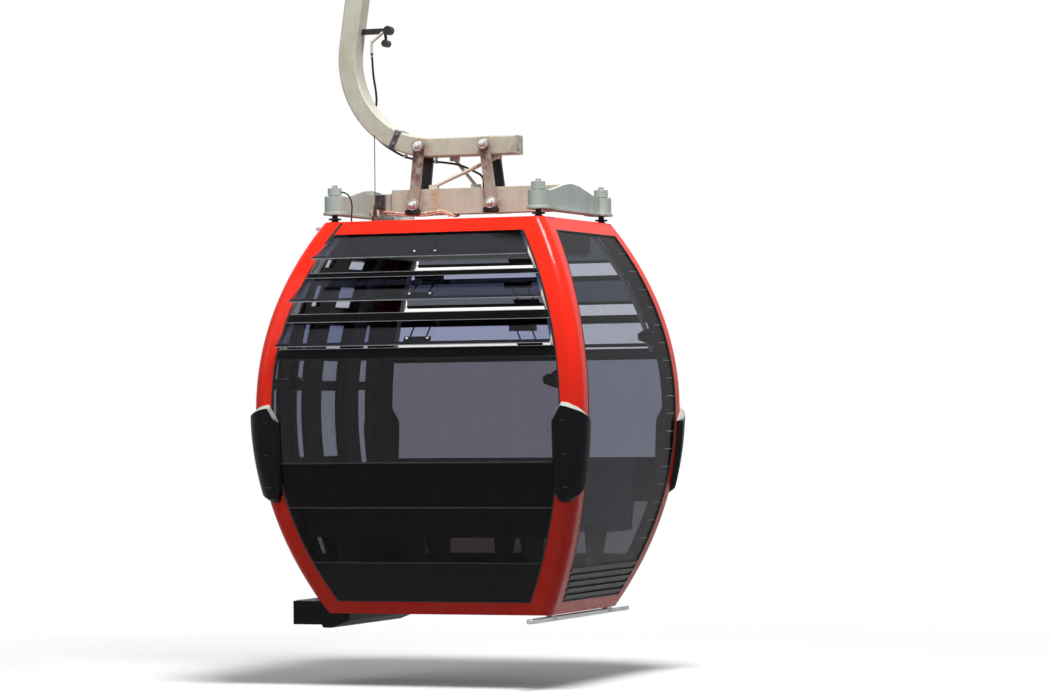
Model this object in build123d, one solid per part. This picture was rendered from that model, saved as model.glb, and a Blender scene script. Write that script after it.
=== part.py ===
from build123d import *
from math import atan, cos, radians, sqrt, tan
import os

os.makedirs("parts", exist_ok=True)

# All sizes are in millimetres. Heights are measured from the underside of the cabin frame.
# X runs across the rope, Y along the rope, and the hanger arm stands on the -X side.
# The finished model has its origin at the centre of the rope in the grip jaws.

# Rope and grip
ROPE_RADIUS = 25
JAW_LENGTH = 240
JAW_WALL = 20
JAW_REACH = 34
JAW_SPLIT = 3
GRIP_BACK = 150
GRIP_FRONT = 62
GRIP_LENGTH = 360
GRIP_TOP = 20
GRIP_FLOOR = 118
JAW_PIN_RADIUS = 16
JAW_PIN_X = 80
JAW_PIN_Z = 62
LEVER_THICKNESS = 24
LEVER_WIDTH = 170
LEVER_REACH = 205
LEVER_RISE = 58
LEVER_WING = 14
LUG_THICKNESS = 22
SPRING_RADIUS = 28
SPRING_WIRE = 10
SPRING_TURNS = 6
SPRING_X = 106
SPRING_Y = 146
ROLLER_RADIUS = 38
ROLLER_WIDTH = 26
ROLLER_AXLE_RADIUS = 11
WHEEL_RADIUS = 62
WHEEL_WIDTH = 34
WHEEL_Y = 185
WHEEL_DROP = 20
WHEEL_AXLE_RADIUS = 17
RUNNING_FIT = 0.05
SIDE_PLAY = 5
DRIVE_PLATE_LENGTH = 560
DRIVE_PLATE_WIDTH = 100
DRIVE_PLATE_THICKNESS = 14
DRIVE_PLATE_HEIGHT = 215

# Hanger arm
PIVOT_DROP = 60
PIVOT_RADIUS = 35
HUB_RADIUS = 82
HUB_LENGTH = 105
ARM_WIDTH = 120
ARM_DEPTH = 112
ARM_EDGE = 10
ARM_FOOT_END = 320
ARM_FOOT_CORNER = 844
ARM_TOP_CORNER = 557.4
ARM_FOOT_RISE = 396
ROPE_RISE = 1978
ARM_LOWER_BEND = 540
ARM_UPPER_BEND = 380

# Suspension between hanger and roof carrier
LINK_TOP_LIFT = 8
LINK_LOW_LIFT = 54
LINK_TOP_X = (-285, 130)
LINK_LOW_X = (-322, 176)
LINK_WIDTH = 62
LINK_THICKNESS = 22
LINK_GAP = 6
LINK_PIN_RADIUS = 19
LINK_HEAD_RADIUS = 37
LINK_HEAD_DEPTH = 20
LINK_PIN_DEPTH = 42
SNUG_FIT = 0.3

# Roof carrier
MOUNT_FROM_SIDE = 48
MOUNT_FROM_END = 76
MOUNT_HEIGHT = 44
BEAM_HEIGHT = 151
BEAM_THICKNESS = 120
BEAM_STEP_X = 472
BEAM_STUB_LIFT = 19
BEAM_STUB_HEIGHT = 111
BEAM_STUB_THICKNESS = 96
WING_THICKNESS = 24
WING_END_HEIGHT = 90
WING_SHOULDER_RISE = 14
WING_CROWN_RISE = 56
WING_PEAK_RISE = 66
WING_SHOULDER = 335
WING_CROWN_HALF = 120
POT_RADIUS = 60
POT_HEIGHT = 107
CAP_RADIUS = 41
CAP_NECK_RADIUS = 35
CAP_GAP = 6
CAP_HEIGHT = 43
FLANGE_THICKNESS = 12
FLANGE_LIP = 8
FLANGE_HALF = 40
FLANGE_END = 110
MOUNT_STEM_RADIUS = 17
MOUNT_DISC_RADIUS = 37
MOUNT_DISC_THICKNESS = 9
MOUNT_FOOT_RADIUS = 30
MOUNT_FOOT_HEIGHT = 13

# Cabin body
CABIN_HEIGHT = 2270
WAIST_HEIGHT = 1180
CABIN_WIDTH = 2030
CABIN_LENGTH = 1714
ROOF_WIDTH = 1371.9
FLOOR_WIDTH = 1396.1
ROOF_LENGTH = 1163.8
FLOOR_LENGTH = 1109.8
CORNER_RADIUS = 68
FRAME_DEPTH = 42
TOP_RAIL = 77
BOTTOM_RAIL = 73
PILLAR_ON_END = 121
PILLAR_ON_SIDE = 127
PANE_SET_BACK = 4
PANE_THICKNESS = 8
PANEL_THICKNESS = 20
PANE_FIT = 0.5
ROOF_THICKNESS = 28
ROOF_DROP = 8
FLOOR_THICKNESS = 28
FLOOR_RISE = 38

# End walls, heights of what fills them
KICK_TOP = 301
LOW_WINDOW_TOP = 618
BAND_TOP = 874
MAIN_WINDOW_DROP = 724
LOUVRE_THICKNESS = 6
LOUVRE_SIDE_GAP = 9
BAR_DEPTH = 36
BAR_SET_BACK = 2
ACTUATOR_X = 30
ACTUATOR_WIDTH = 165
ACTUATOR_DEPTH = 34
ACTUATOR_SEAT = 8
ACTUATOR_DROP = 38
HEADLINER_DROP = 118
HEADLINER_SIDE_GAP = 160
HEADLINER_END_GAP = 130
HEADLINER_CORNER = 90
HEADLINER_EDGE = 30

# Closed side wall
SIDE_KICK_TOP = 268
SIDE_RIB_PITCH = 39
SIDE_RIB_HEIGHT = 17
SIDE_RIB_PROUD = 9

# Door side
DOORWAY_HALF = 340
DOORWAY_DROP = 108
PORTAL_WIDTH = 75
SIDE_PANE_START = 550
LEAF_GAP = 10
LEAF_THICKNESS = 30
LEAF_CLEARANCE = 5
LEAF_WIDTH = 405
LEAF_LOW = 100
LEAF_DROP = 89
LEAF_MEETING_GAP = 6
LEAF_MEETING_STILE = 109
LEAF_STILE = 42
LEAF_LOW_WINDOW = (330, 590)
LEAF_MAIN_WINDOW_LOW = 900
DOOR_RAIL_GAP = 44
DOOR_RAIL_DROP = 34
DOOR_RAIL_RADIUS = 12
DOOR_RAIL_HALF = 500
DOOR_RAIL_FOOT = 12
CARRIAGE_START = 22
CARRIAGE_LENGTH = 90
CARRIAGE_WALL = 12
CARRIAGE_LIP = 7
CARRIAGE_RISE = 10
HANGER_PLATE = 12
HANGER_INSET = 8
HANGER_SEAT = 2
GUIDE_FIN = 12
GUIDE_FIN_DEPTH = 58
SILL_HALF = 500
SILL_REACH = 197
SILL_TOP = 67
SILL_LOW = -70
SILL_FOOT_LOW = -88
SILL_FOOT_INNER = 123
SILL_END_WALL = 3
SILL_GROOVE_FLOOR = 15

# Fittings outside the body
BUFFER_PROUD = 33
BUFFER_ON_END = 172
BUFFER_ON_SIDE = 112
BUFFER_LOW = 648
BUFFER_TOP = 1218
RAIL_HALF = 785
RAIL_WIDTH = 46
RAIL_HEIGHT = 26
RAIL_FROM_SIDE = 8
RAIL_GAP = 10
RAIL_FOOT_Y = 450
RAIL_FOOT_WIDTH = 34
RAIL_FOOT_LENGTH = 60

# Seats
BENCH_SIDE_GAP = 113
BENCH_HEIGHT = 480
BENCH_THICKNESS = 34
BENCH_FRONT = 335
BENCH_BACK_INSET = 62
BENCH_BACK_THICKNESS = 30
BENCH_BACK_TOP = 880
BENCH_LEG = 24
BENCH_LEG_SHARE = 0.78

# Fittings on the roof and on the arm
BRACE_FOOT = (52, 34, 24)
BRACE_SEAT = 14
DOOR_LEVER_RISE = 709
DOOR_LEVER_PLATE = (181, 18, 34)
DOOR_LEVER_DROP = 19
DOOR_CABLE_RADIUS = 6.5
AERIAL_X = -540
AERIAL_Y = -150
AERIAL_BASE = (20, 60)
AERIAL_SPRING = (8, 65)
AERIAL_WHIP = (2.5, 413)

# Heights that build on each other, from the windows up to the rope
GLASS_LOW = BOTTOM_RAIL
GLASS_TOP = CABIN_HEIGHT - TOP_RAIL
MAIN_WINDOW_TOP = GLASS_TOP - MAIN_WINDOW_DROP
HEADLINER_LOW = GLASS_TOP - HEADLINER_DROP
DOORWAY_TOP = GLASS_TOP - DOORWAY_DROP
LEAF_TOP = GLASS_TOP - LEAF_DROP
DOOR_RAIL_HEIGHT = CABIN_HEIGHT - DOOR_RAIL_DROP
WING_LOW = CABIN_HEIGHT + MOUNT_HEIGHT
POT_TOP = WING_LOW + POT_HEIGHT
CARRIER_LOW = WING_LOW + FLANGE_THICKNESS
BEAM_TOP = CARRIER_LOW + BEAM_HEIGHT
BEAM_STUB_LOW = CARRIER_LOW + BEAM_STUB_LIFT
LINK_LOW_HEIGHT = CARRIER_LOW + LINK_LOW_LIFT
ARM_FOOT_HEIGHT = CARRIER_LOW + ARM_FOOT_RISE
LINK_TOP_HEIGHT = ARM_FOOT_HEIGHT + LINK_TOP_LIFT
ROPE_HEIGHT = ARM_FOOT_HEIGHT + ROPE_RISE

FAR = 3000


def arc_radius(waist, edge, rise):
    """Radius of a wall that is upright at the waist and leans in to an edge."""
    lean = (waist - edge) / 2
    return (lean**2 + rise**2) / (2 * lean)


BARREL = {
    "side": (
        arc_radius(CABIN_WIDTH, ROOF_WIDTH, CABIN_HEIGHT - WAIST_HEIGHT),
        arc_radius(CABIN_WIDTH, FLOOR_WIDTH, WAIST_HEIGHT),
        CABIN_WIDTH / 2,
    ),
    "end": (
        arc_radius(CABIN_LENGTH, ROOF_LENGTH, CABIN_HEIGHT - WAIST_HEIGHT),
        arc_radius(CABIN_LENGTH, FLOOR_LENGTH, WAIST_HEIGHT),
        CABIN_LENGTH / 2,
    ),
}
WALL_PLANE = {"side": Plane.XZ, "end": Plane.YZ}
ALONG_WALL = {"side": Vector(0, 1, 0), "end": Vector(1, 0, 0)}


def write(node, shape):
    """Write one piece with the rope centre as its origin."""
    placed = Pos(0, 0, -ROPE_HEIGHT) * shape
    export_step(placed, f"parts/{node}.step")


def slab(x_range, y_range, z_range):
    """A box given by its three ranges."""
    low = (x_range[0], y_range[0], z_range[0])
    size = (x_range[1] - x_range[0], y_range[1] - y_range[0], z_range[1] - z_range[0])
    return Pos(*low) * Box(*size, align=(Align.MIN, Align.MIN, Align.MIN))


def half_at(wall, inset, height):
    """Distance from the cabin's middle plane to a wall's surface, inset by a thickness."""
    top_radius, low_radius, half = BARREL[wall]
    radius = top_radius if height > WAIST_HEIGHT else low_radius
    return half - radius + sqrt((radius - inset) ** 2 - (height - WAIST_HEIGHT) ** 2)


def wall_line(wall, sign, inset, low, high):
    """The arcs of one wall seen edge on, from a low to a high level."""
    levels = [low, high]
    if low < WAIST_HEIGHT < high:
        levels.insert(1, WAIST_HEIGHT)
    arcs = []
    for start, end in zip(levels, levels[1:]):
        heights = (start, (start + end) / 2, end)
        arcs.append(ThreePointArc(*[(sign * half_at(wall, inset, h), h) for h in heights]))
    return arcs


def closed_face(*lines):
    """A face from arcs in order, joined by straight edges where they don't meet."""
    edges = []
    for line in lines:
        edges.extend(line)
    joined = []
    for edge, following in zip(edges, edges[1:] + edges[:1]):
        joined.append(edge)
        if (edge @ 1 - following @ 0).length > 1e-6:
            joined.append(Line(edge @ 1, following @ 0))
    return Face(Wire(joined))


def reversed_line(arcs):
    """The same arcs run the other way."""
    return [Edge.make_three_point_arc(a @ 1, a @ 0.5, a @ 0) for a in reversed(arcs)]


def prism(wall, inset, low, high):
    """The cabin's outline across a pair of walls, run through the whole cabin."""
    near = wall_line(wall, 1, inset, low, high)
    far = reversed_line(wall_line(wall, -1, inset, low, high))
    face = WALL_PLANE[wall] * closed_face(near, far)
    return extrude(face, amount=FAR, both=True)


def strip(wall, sign, outer, inner, low, high, start, end):
    """Part of one curved wall, between two insets, two heights and two places along it."""
    outside = wall_line(wall, sign, outer, low, high)
    inside = reversed_line(wall_line(wall, sign, inner, low, high))
    face = WALL_PLANE[wall] * closed_face(outside, inside)
    return Pos(*(ALONG_WALL[wall] * start)) * extrude(face, amount=end - start, dir=ALONG_WALL[wall])


def barrel(inset, low, high):
    """The cabin's outer form, or one inset from it, with its four rounded corners."""
    body = prism("side", inset, low, high) & prism("end", inset, low, high)
    corners = body.edges().filter_by(lambda edge: edge.bounding_box().size.Z > 1)
    return fillet(corners, CORNER_RADIUS - inset)


def rod(start, end, radius):
    """A round bar between two points."""
    direction = Vector(*end) - Vector(*start)
    return extrude(Plane(origin=start, z_dir=direction) * Circle(radius), amount=direction.length)


def bar_along_x(x_range, y, z, radius):
    """A round bar along X."""
    return rod((x_range[0], y, z), (x_range[1], y, z), radius)


def in_end_opening(shape, low, high):
    """Trim a piece to the opening between the pillars of an end wall."""
    return shape & prism("side", PILLAR_ON_END + PANE_FIT, low, high)


def in_side_opening(shape, low, high):
    """Trim a piece to the opening between the pillars of a side wall."""
    return shape & prism("end", PILLAR_ON_SIDE + PANE_FIT, low, high)


# Cabin frame: four corner pillars and the top and bottom rails
outer_form = barrel(0, 0, CABIN_HEIGHT)
inner_form = barrel(FRAME_DEPTH, -1, CABIN_HEIGHT + 1)
frame = outer_form - inner_form
frame -= prism("side", PILLAR_ON_END, GLASS_LOW, GLASS_TOP)
frame -= prism("end", PILLAR_ON_SIDE, GLASS_LOW, GLASS_TOP)

CORNERS = {
    "front_left": (-1, -1),
    "front_right": (1, -1),
    "rear_left": (-1, 1),
    "rear_right": (1, 1),
}
for corner, (side, end) in CORNERS.items():
    quarter = slab(sorted((0, side * FAR)), sorted((0, end * FAR)), (GLASS_LOW, GLASS_TOP))
    write(f"pillar_{corner}", frame & quarter)
write("roof_rail", frame & slab((-FAR, FAR), (-FAR, FAR), (GLASS_TOP, CABIN_HEIGHT)))
write("floor_rail", frame & slab((-FAR, FAR), (-FAR, FAR), (0, GLASS_LOW)))

seated_form = barrel(FRAME_DEPTH + SNUG_FIT, -1, CABIN_HEIGHT + 1)
roof_high = CABIN_HEIGHT - ROOF_DROP
roof_low = roof_high - ROOF_THICKNESS
write("roof_panel", seated_form & slab((-FAR, FAR), (-FAR, FAR), (roof_low, roof_high)))
floor_high = FLOOR_RISE + FLOOR_THICKNESS
write("floor_panel", seated_form & slab((-FAR, FAR), (-FAR, FAR), (FLOOR_RISE, floor_high)))

# Moulded ceiling under the roof, with air gaps to the walls all round
liner_half_wide = half_at("side", FRAME_DEPTH, HEADLINER_LOW) - HEADLINER_SIDE_GAP
liner_half_long = half_at("end", FRAME_DEPTH, HEADLINER_LOW) - HEADLINER_END_GAP
liner_outline = RectangleRounded(2 * liner_half_wide, 2 * liner_half_long, HEADLINER_CORNER)
headliner = extrude(Pos(0, 0, HEADLINER_LOW) * liner_outline, amount=roof_low - HEADLINER_LOW)
headliner = fillet(headliner.edges().group_by(Axis.Z)[0], HEADLINER_EDGE)
write("headliner", headliner)

# End walls: lower panel, low window, dark band, main window, louvre bars and louvre panes
# Columns: name, low, high, thickness
END_PANELS = (
    ("kick", GLASS_LOW, KICK_TOP, PANEL_THICKNESS),
    ("low_window", KICK_TOP, LOW_WINDOW_TOP, PANE_THICKNESS),
    ("band", LOW_WINDOW_TOP, BAND_TOP, PANEL_THICKNESS),
    ("main_window", BAND_TOP, MAIN_WINDOW_TOP, PANE_THICKNESS),
)
# Columns: low and high edge of each cross bar, down from the top of the glass
LOUVRE_BARS = ((MAIN_WINDOW_DROP, 663), (509, 461), (252, 224))
# Columns: top and low edge of each pane, down from the top of the glass, and how far the low edge stands out
LOUVRES = ((0, 143, 90), (252, 391, 81), (509, 649, 63))


def actuator(end, low):
    """The housing of a window opener, hung on the inner side of a cross bar."""
    outer = half_at("end", BAR_DEPTH - ACTUATOR_SEAT, low)
    inner = outer - ACTUATOR_DEPTH - ACTUATOR_SEAT
    across = (ACTUATOR_X - ACTUATOR_WIDTH / 2, ACTUATOR_X + ACTUATOR_WIDTH / 2)
    return slab(across, sorted((end * inner, end * outer)), (low - ACTUATOR_DROP, low + 1))


def louvre_pane(end, top, low, stand_out):
    """One flat pane, hung by its top edge and tilted out at its low edge."""
    top_y = half_at("end", BAR_DEPTH / 2, top)
    low_y = half_at("end", 0, low) + stand_out
    top_half = half_at("side", PILLAR_ON_END, top) - LOUVRE_SIDE_GAP
    low_half = half_at("side", PILLAR_ON_END, low) - LOUVRE_SIDE_GAP
    slope = Vector(0, end * (top_y - low_y), top - low)
    plane = Plane(origin=(0, end * low_y, low), x_dir=(1, 0, 0), z_dir=Vector(1, 0, 0).cross(slope))
    corners = [(-low_half, 0), (low_half, 0), (top_half, slope.length), (-top_half, slope.length)]
    pane = extrude(plane * make_face(Polyline(*corners, close=True)), amount=LOUVRE_THICKNESS / 2, both=True)
    return pane & slab((-FAR, FAR), (-FAR, FAR), (0, top))


for place, end in (("front", -1), ("rear", 1)):
    for name, low, high, thickness in END_PANELS:
        panel = strip("end", end, PANE_SET_BACK, PANE_SET_BACK + thickness, low, high, -FAR / 2, FAR / 2)
        write(f"{name}_{place}", in_end_opening(panel, low, high))
    bars = Part()
    for low_drop, high_drop in LOUVRE_BARS:
        low, high = GLASS_TOP - low_drop, GLASS_TOP - high_drop
        bar = strip("end", end, BAR_SET_BACK, BAR_DEPTH, low, high, -FAR / 2, FAR / 2)
        bars += in_end_opening(bar, low, high)
        if low > MAIN_WINDOW_TOP:
            bars += actuator(end, low)
    write(f"louvre_bars_{place}", bars)
    louvres = Part()
    for top_drop, low_drop, stand_out in LOUVRES:
        louvres += louvre_pane(end, GLASS_TOP - top_drop, GLASS_TOP - low_drop, stand_out)
    write(f"louvres_{place}", louvres)

# Closed side: one curved window above a ribbed panel
whole_side = (-FAR / 2, FAR / 2)
pane_back = PANE_SET_BACK + PANE_THICKNESS
panel_back = PANE_SET_BACK + PANEL_THICKNESS
side_glass = strip("side", 1, PANE_SET_BACK, pane_back, SIDE_KICK_TOP, GLASS_TOP, *whole_side)
write("side_window", in_side_opening(side_glass, SIDE_KICK_TOP, GLASS_TOP))
side_kick = strip("side", 1, PANE_SET_BACK, panel_back, GLASS_LOW, SIDE_KICK_TOP, *whole_side)
rib_count = int((SIDE_KICK_TOP - GLASS_LOW) / SIDE_RIB_PITCH)
for number in range(rib_count):
    rib_low = GLASS_LOW + (number + 0.5) * SIDE_RIB_PITCH
    rib_face = PANE_SET_BACK - SIDE_RIB_PROUD
    side_kick += strip("side", 1, rib_face, panel_back, rib_low, rib_low + SIDE_RIB_HEIGHT, *whole_side)
write("side_kick", in_side_opening(side_kick, GLASS_LOW, SIDE_KICK_TOP))

# Door side: portal, narrow fixed panes and panels, sill and door rail
leaf_inner = -LEAF_GAP
leaf_outer = -LEAF_GAP - LEAF_THICKNESS
portal_half = DOORWAY_HALF + PORTAL_WIDTH
portal_face = -LEAF_GAP + LEAF_CLEARANCE
portal = strip("side", -1, portal_face, FRAME_DEPTH, GLASS_LOW, GLASS_TOP, -portal_half, portal_half)
portal -= slab((-FAR, 0), (-DOORWAY_HALF, DOORWAY_HALF), (GLASS_LOW - 1, DOORWAY_TOP))
write("door_portal", portal)

# Columns: low and high edge of each row of small door windows, down from the top of the glass
DOOR_WINDOW_ROWS = ((840, 712), (643, 501), (397, 273), (169, 118))
MAIN_ROW_DROP = 892
door_windows = [LEAF_LOW_WINDOW, (LEAF_MAIN_WINDOW_LOW, GLASS_TOP - MAIN_ROW_DROP)]
door_windows += [(GLASS_TOP - low_drop, GLASS_TOP - high_drop) for low_drop, high_drop in DOOR_WINDOW_ROWS]
door_bars = [(below[1], above[0]) for below, above in zip(door_windows[1:], door_windows[2:])]


def beside_doorway(start, outer, inner, low, high):
    """Two pieces of the door side, from a place beside the doorway to the pillars."""
    pair = Part()
    for end in (-1, 1):
        reach = sorted((end * start, end * FAR / 2))
        pair += in_side_opening(strip("side", -1, outer, inner, low, high, *reach), low, high)
    return pair


write("door_side_panes", beside_doorway(SIDE_PANE_START, PANE_SET_BACK, pane_back, SIDE_KICK_TOP, GLASS_TOP))
portal_side = portal_half + PANE_FIT
write("door_side_kicks", beside_doorway(portal_side, PANE_SET_BACK, panel_back, GLASS_LOW, SIDE_KICK_TOP))
side_frames = beside_doorway(portal_side, PANE_SET_BACK, BAR_DEPTH, SIDE_KICK_TOP, GLASS_TOP)
side_frames -= slab((-FAR, 0), (SIDE_PANE_START - PANE_FIT, FAR), (0, CABIN_HEIGHT))
side_frames -= slab((-FAR, 0), (-FAR, -SIDE_PANE_START + PANE_FIT), (0, CABIN_HEIGHT))
for low, high in door_bars:
    side_frames += beside_doorway(SIDE_PANE_START - PANE_FIT - 1, pane_back, BAR_DEPTH, low, high)
write("door_side_frames", side_frames)

fin_middle = half_at("side", leaf_inner, LEAF_LOW) + LEAF_THICKNESS / 2
groove_half = GUIDE_FIN / 2 + LEAF_CLEARANCE
sill_wall = -half_at("side", 0, SILL_TOP)
floor_edge = -FLOOR_WIDTH / 2
sill_points = [
    (sill_wall - SILL_REACH, SILL_LOW),
    (sill_wall - SILL_REACH, SILL_TOP),
    (sill_wall + FRAME_DEPTH, SILL_TOP),
    (sill_wall + FRAME_DEPTH, -1),
    (floor_edge + SILL_FOOT_INNER, -1),
    (floor_edge + SILL_FOOT_INNER, SILL_FOOT_LOW / 2),
    (floor_edge + 8, SILL_FOOT_LOW),
    (floor_edge - 42, SILL_FOOT_LOW),
    (floor_edge - 54, SILL_LOW),
]
sill_face = Plane.XZ * make_face(Polyline(*sill_points, close=True))
sill = extrude(sill_face, amount=SILL_HALF, both=True)
sill -= prism("side", -SNUG_FIT, 0, SILL_TOP + 10)
sill -= slab(
    (-fin_middle - groove_half, -fin_middle + groove_half),
    (-SILL_HALF + SILL_END_WALL, SILL_HALF - SILL_END_WALL),
    (LEAF_LOW - GUIDE_FIN_DEPTH - SILL_GROOVE_FLOOR, SILL_TOP + 1),
)
write("door_sill", sill)

rail_x = half_at("side", 0, DOOR_RAIL_HEIGHT) + DOOR_RAIL_GAP
rail_middle = DOOR_RAIL_HALF - DOOR_RAIL_FOOT / 2
rail_start = (-rail_x, -DOOR_RAIL_HALF, DOOR_RAIL_HEIGHT)
door_rail = rod(rail_start, (-rail_x, DOOR_RAIL_HALF, DOOR_RAIL_HEIGHT), DOOR_RAIL_RADIUS)
for middle in (-rail_middle, 0, rail_middle):
    bracket = slab(
        (-rail_x, -rail_x + 2 * DOOR_RAIL_GAP),
        (middle - DOOR_RAIL_FOOT / 2, middle + DOOR_RAIL_FOOT / 2),
        (DOOR_RAIL_HEIGHT - CARRIAGE_RISE, DOOR_RAIL_HEIGHT + CARRIAGE_RISE),
    )
    door_rail += bracket - prism("side", -SNUG_FIT, 0, CABIN_HEIGHT)
write("door_rail", door_rail)

# Sliding door leaves, which run outside the wall
for place, end in (("front", -1), ("rear", 1)):
    leaf_start = LEAF_MEETING_GAP / 2
    leaf_end = leaf_start + LEAF_WIDTH
    leaf = strip("side", -1, leaf_outer, leaf_inner, LEAF_LOW, LEAF_TOP, leaf_start, leaf_end)
    panes = Part()
    window_start = leaf_start + LEAF_MEETING_STILE
    window_end = leaf_end - LEAF_STILE
    for low, high in door_windows:
        leaf -= slab((-FAR, 0), (window_start, window_end), (low, high))
        panes += strip(
            "side",
            -1,
            leaf_inner - PANE_SET_BACK - PANE_THICKNESS,
            leaf_inner - PANE_SET_BACK,
            low + PANE_FIT,
            high - PANE_FIT,
            window_start + PANE_FIT,
            window_end - PANE_FIT,
        )
    carriage_end = CARRIAGE_START + CARRIAGE_LENGTH
    carriage_outer = rail_x + DOOR_RAIL_RADIUS + CARRIAGE_WALL
    carriage_high = DOOR_RAIL_HEIGHT + DOOR_RAIL_RADIUS + CARRIAGE_RISE
    carriage_low = DOOR_RAIL_HEIGHT - DOOR_RAIL_RADIUS - CARRIAGE_RISE
    carriage = slab(
        (-carriage_outer, -rail_x + CARRIAGE_LIP),
        (CARRIAGE_START, carriage_end),
        (carriage_low, carriage_high),
    )
    plate_inner = -half_at("side", leaf_inner, LEAF_TOP) - HANGER_SEAT
    plate_outer = -half_at("side", leaf_outer, LEAF_TOP) + HANGER_SEAT
    hanger_points = [
        (-carriage_outer + HANGER_INSET, carriage_high),
        (-carriage_outer + HANGER_INSET, carriage_low),
        (plate_inner, LEAF_TOP),
        (plate_inner, LEAF_TOP - HANGER_SEAT),
        (plate_outer, LEAF_TOP - HANGER_SEAT),
        (plate_outer, LEAF_TOP),
        (-carriage_outer - HANGER_PLATE, DOOR_RAIL_HEIGHT),
        (-carriage_outer - HANGER_PLATE, carriage_high),
    ]
    hanger_face = Plane.XZ * make_face(Polyline(*hanger_points, close=True))
    hanger_plate = Pos(0, CARRIAGE_START, 0) * extrude(hanger_face, amount=CARRIAGE_LENGTH, dir=(0, 1, 0))
    fin = slab(
        (-fin_middle - GUIDE_FIN / 2, -fin_middle + GUIDE_FIN / 2),
        (CARRIAGE_START, carriage_end),
        (LEAF_LOW - GUIDE_FIN_DEPTH, LEAF_LOW + 4),
    )
    bore_middle = (-rail_x, 0, DOOR_RAIL_HEIGHT)
    bore = rod(bore_middle, (-rail_x, FAR, DOOR_RAIL_HEIGHT), DOOR_RAIL_RADIUS + SNUG_FIT)
    leaf = leaf + carriage + hanger_plate + fin - bore
    if end < 0:
        leaf = mirror(leaf, about=Plane.XZ)
        panes = mirror(panes, about=Plane.XZ)
    write(f"door_leaf_{place}", leaf)
    write(f"door_panes_{place}", panes)

# Corner buffers at mid height
buffer_skin = barrel(-BUFFER_PROUD, 0, CABIN_HEIGHT) - barrel(-SNUG_FIT, 0, CABIN_HEIGHT)
end_edge = CABIN_WIDTH / 2 - BUFFER_ON_END
side_edge = CABIN_LENGTH / 2 - BUFFER_ON_SIDE
end_outline = [
    (end_edge, BUFFER_LOW + 60),
    (end_edge + 40, BUFFER_LOW),
    (FAR, BUFFER_LOW),
    (FAR, BUFFER_TOP),
    (end_edge + 62, BUFFER_TOP),
    (end_edge, BUFFER_TOP - 88),
]
side_outline = [
    (side_edge, BUFFER_LOW + 75),
    (side_edge + 75, BUFFER_LOW),
    (FAR, BUFFER_LOW),
    (FAR, BUFFER_TOP),
    (CABIN_LENGTH / 2 - 10, BUFFER_TOP),
    (side_edge, BUFFER_TOP - 120),
]
end_cutter = extrude(Plane.XZ * make_face(Polyline(*end_outline, close=True)), amount=FAR, dir=(0, 1, 0))
side_cutter = extrude(Plane.YZ * make_face(Polyline(*side_outline, close=True)), amount=FAR)
buffer = buffer_skin & end_cutter & side_cutter
for place, end in (("front", -1), ("rear", 1)):
    pair = buffer + mirror(buffer, about=Plane.YZ)
    if end < 0:
        pair = mirror(pair, about=Plane.XZ)
    write(f"buffers_{place}", pair)

# Guide rail under the closed side
rail_top = -RAIL_GAP
guide_x = FLOOR_WIDTH / 2 - RAIL_FROM_SIDE - RAIL_WIDTH / 2
guide_rail = slab(
    (guide_x - RAIL_WIDTH / 2, guide_x + RAIL_WIDTH / 2),
    (-RAIL_HALF, RAIL_HALF),
    (rail_top - RAIL_HEIGHT, rail_top),
)
guide_rail = fillet(guide_rail.edges().filter_by(Axis.Z), RAIL_WIDTH / 2 - 1)
guide_rail = fillet(guide_rail.edges().filter_by(Axis.Y), RAIL_HEIGHT / 4)
for end in (-1, 1):
    foot = Box(RAIL_FOOT_WIDTH, RAIL_FOOT_LENGTH, RAIL_GAP)
    guide_rail += Pos(guide_x, end * RAIL_FOOT_Y, -RAIL_GAP / 2) * foot
write("guide_rail", guide_rail)

# Benches against the two end walls
seat_low = BENCH_HEIGHT - BENCH_THICKNESS
bench_half = half_at("side", FRAME_DEPTH, seat_low) - BENCH_SIDE_GAP
back_inset = BENCH_BACK_INSET + BENCH_BACK_THICKNESS
for place, end in (("front", -1), ("rear", 1)):
    back_heights = (BENCH_HEIGHT, BENCH_BACK_TOP)
    back = strip("end", end, BENCH_BACK_INSET, back_inset, *back_heights, -bench_half, bench_half)
    seat_back = half_at("end", BENCH_BACK_INSET, BENCH_HEIGHT)
    seat_depth = sorted((end * BENCH_FRONT, end * seat_back))
    seat = slab((-bench_half, bench_half), seat_depth, (seat_low, BENCH_HEIGHT))
    bench = back + seat
    for x in (-bench_half * BENCH_LEG_SHARE, 0, bench_half * BENCH_LEG_SHARE):
        foot_back = half_at("end", back_inset, floor_high)
        leg_points = [
            (end * (BENCH_FRONT + 60), floor_high),
            (end * (BENCH_FRONT + 20), seat_low + 1),
            (end * (seat_back - 20), seat_low + 1),
            (end * foot_back, floor_high),
        ]
        leg_face = Plane.YZ * make_face(Polyline(*leg_points, close=True))
        bench += Pos(x, 0, 0) * extrude(leg_face, amount=BENCH_LEG / 2, both=True)
    write(f"bench_{place}", bench)

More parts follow.
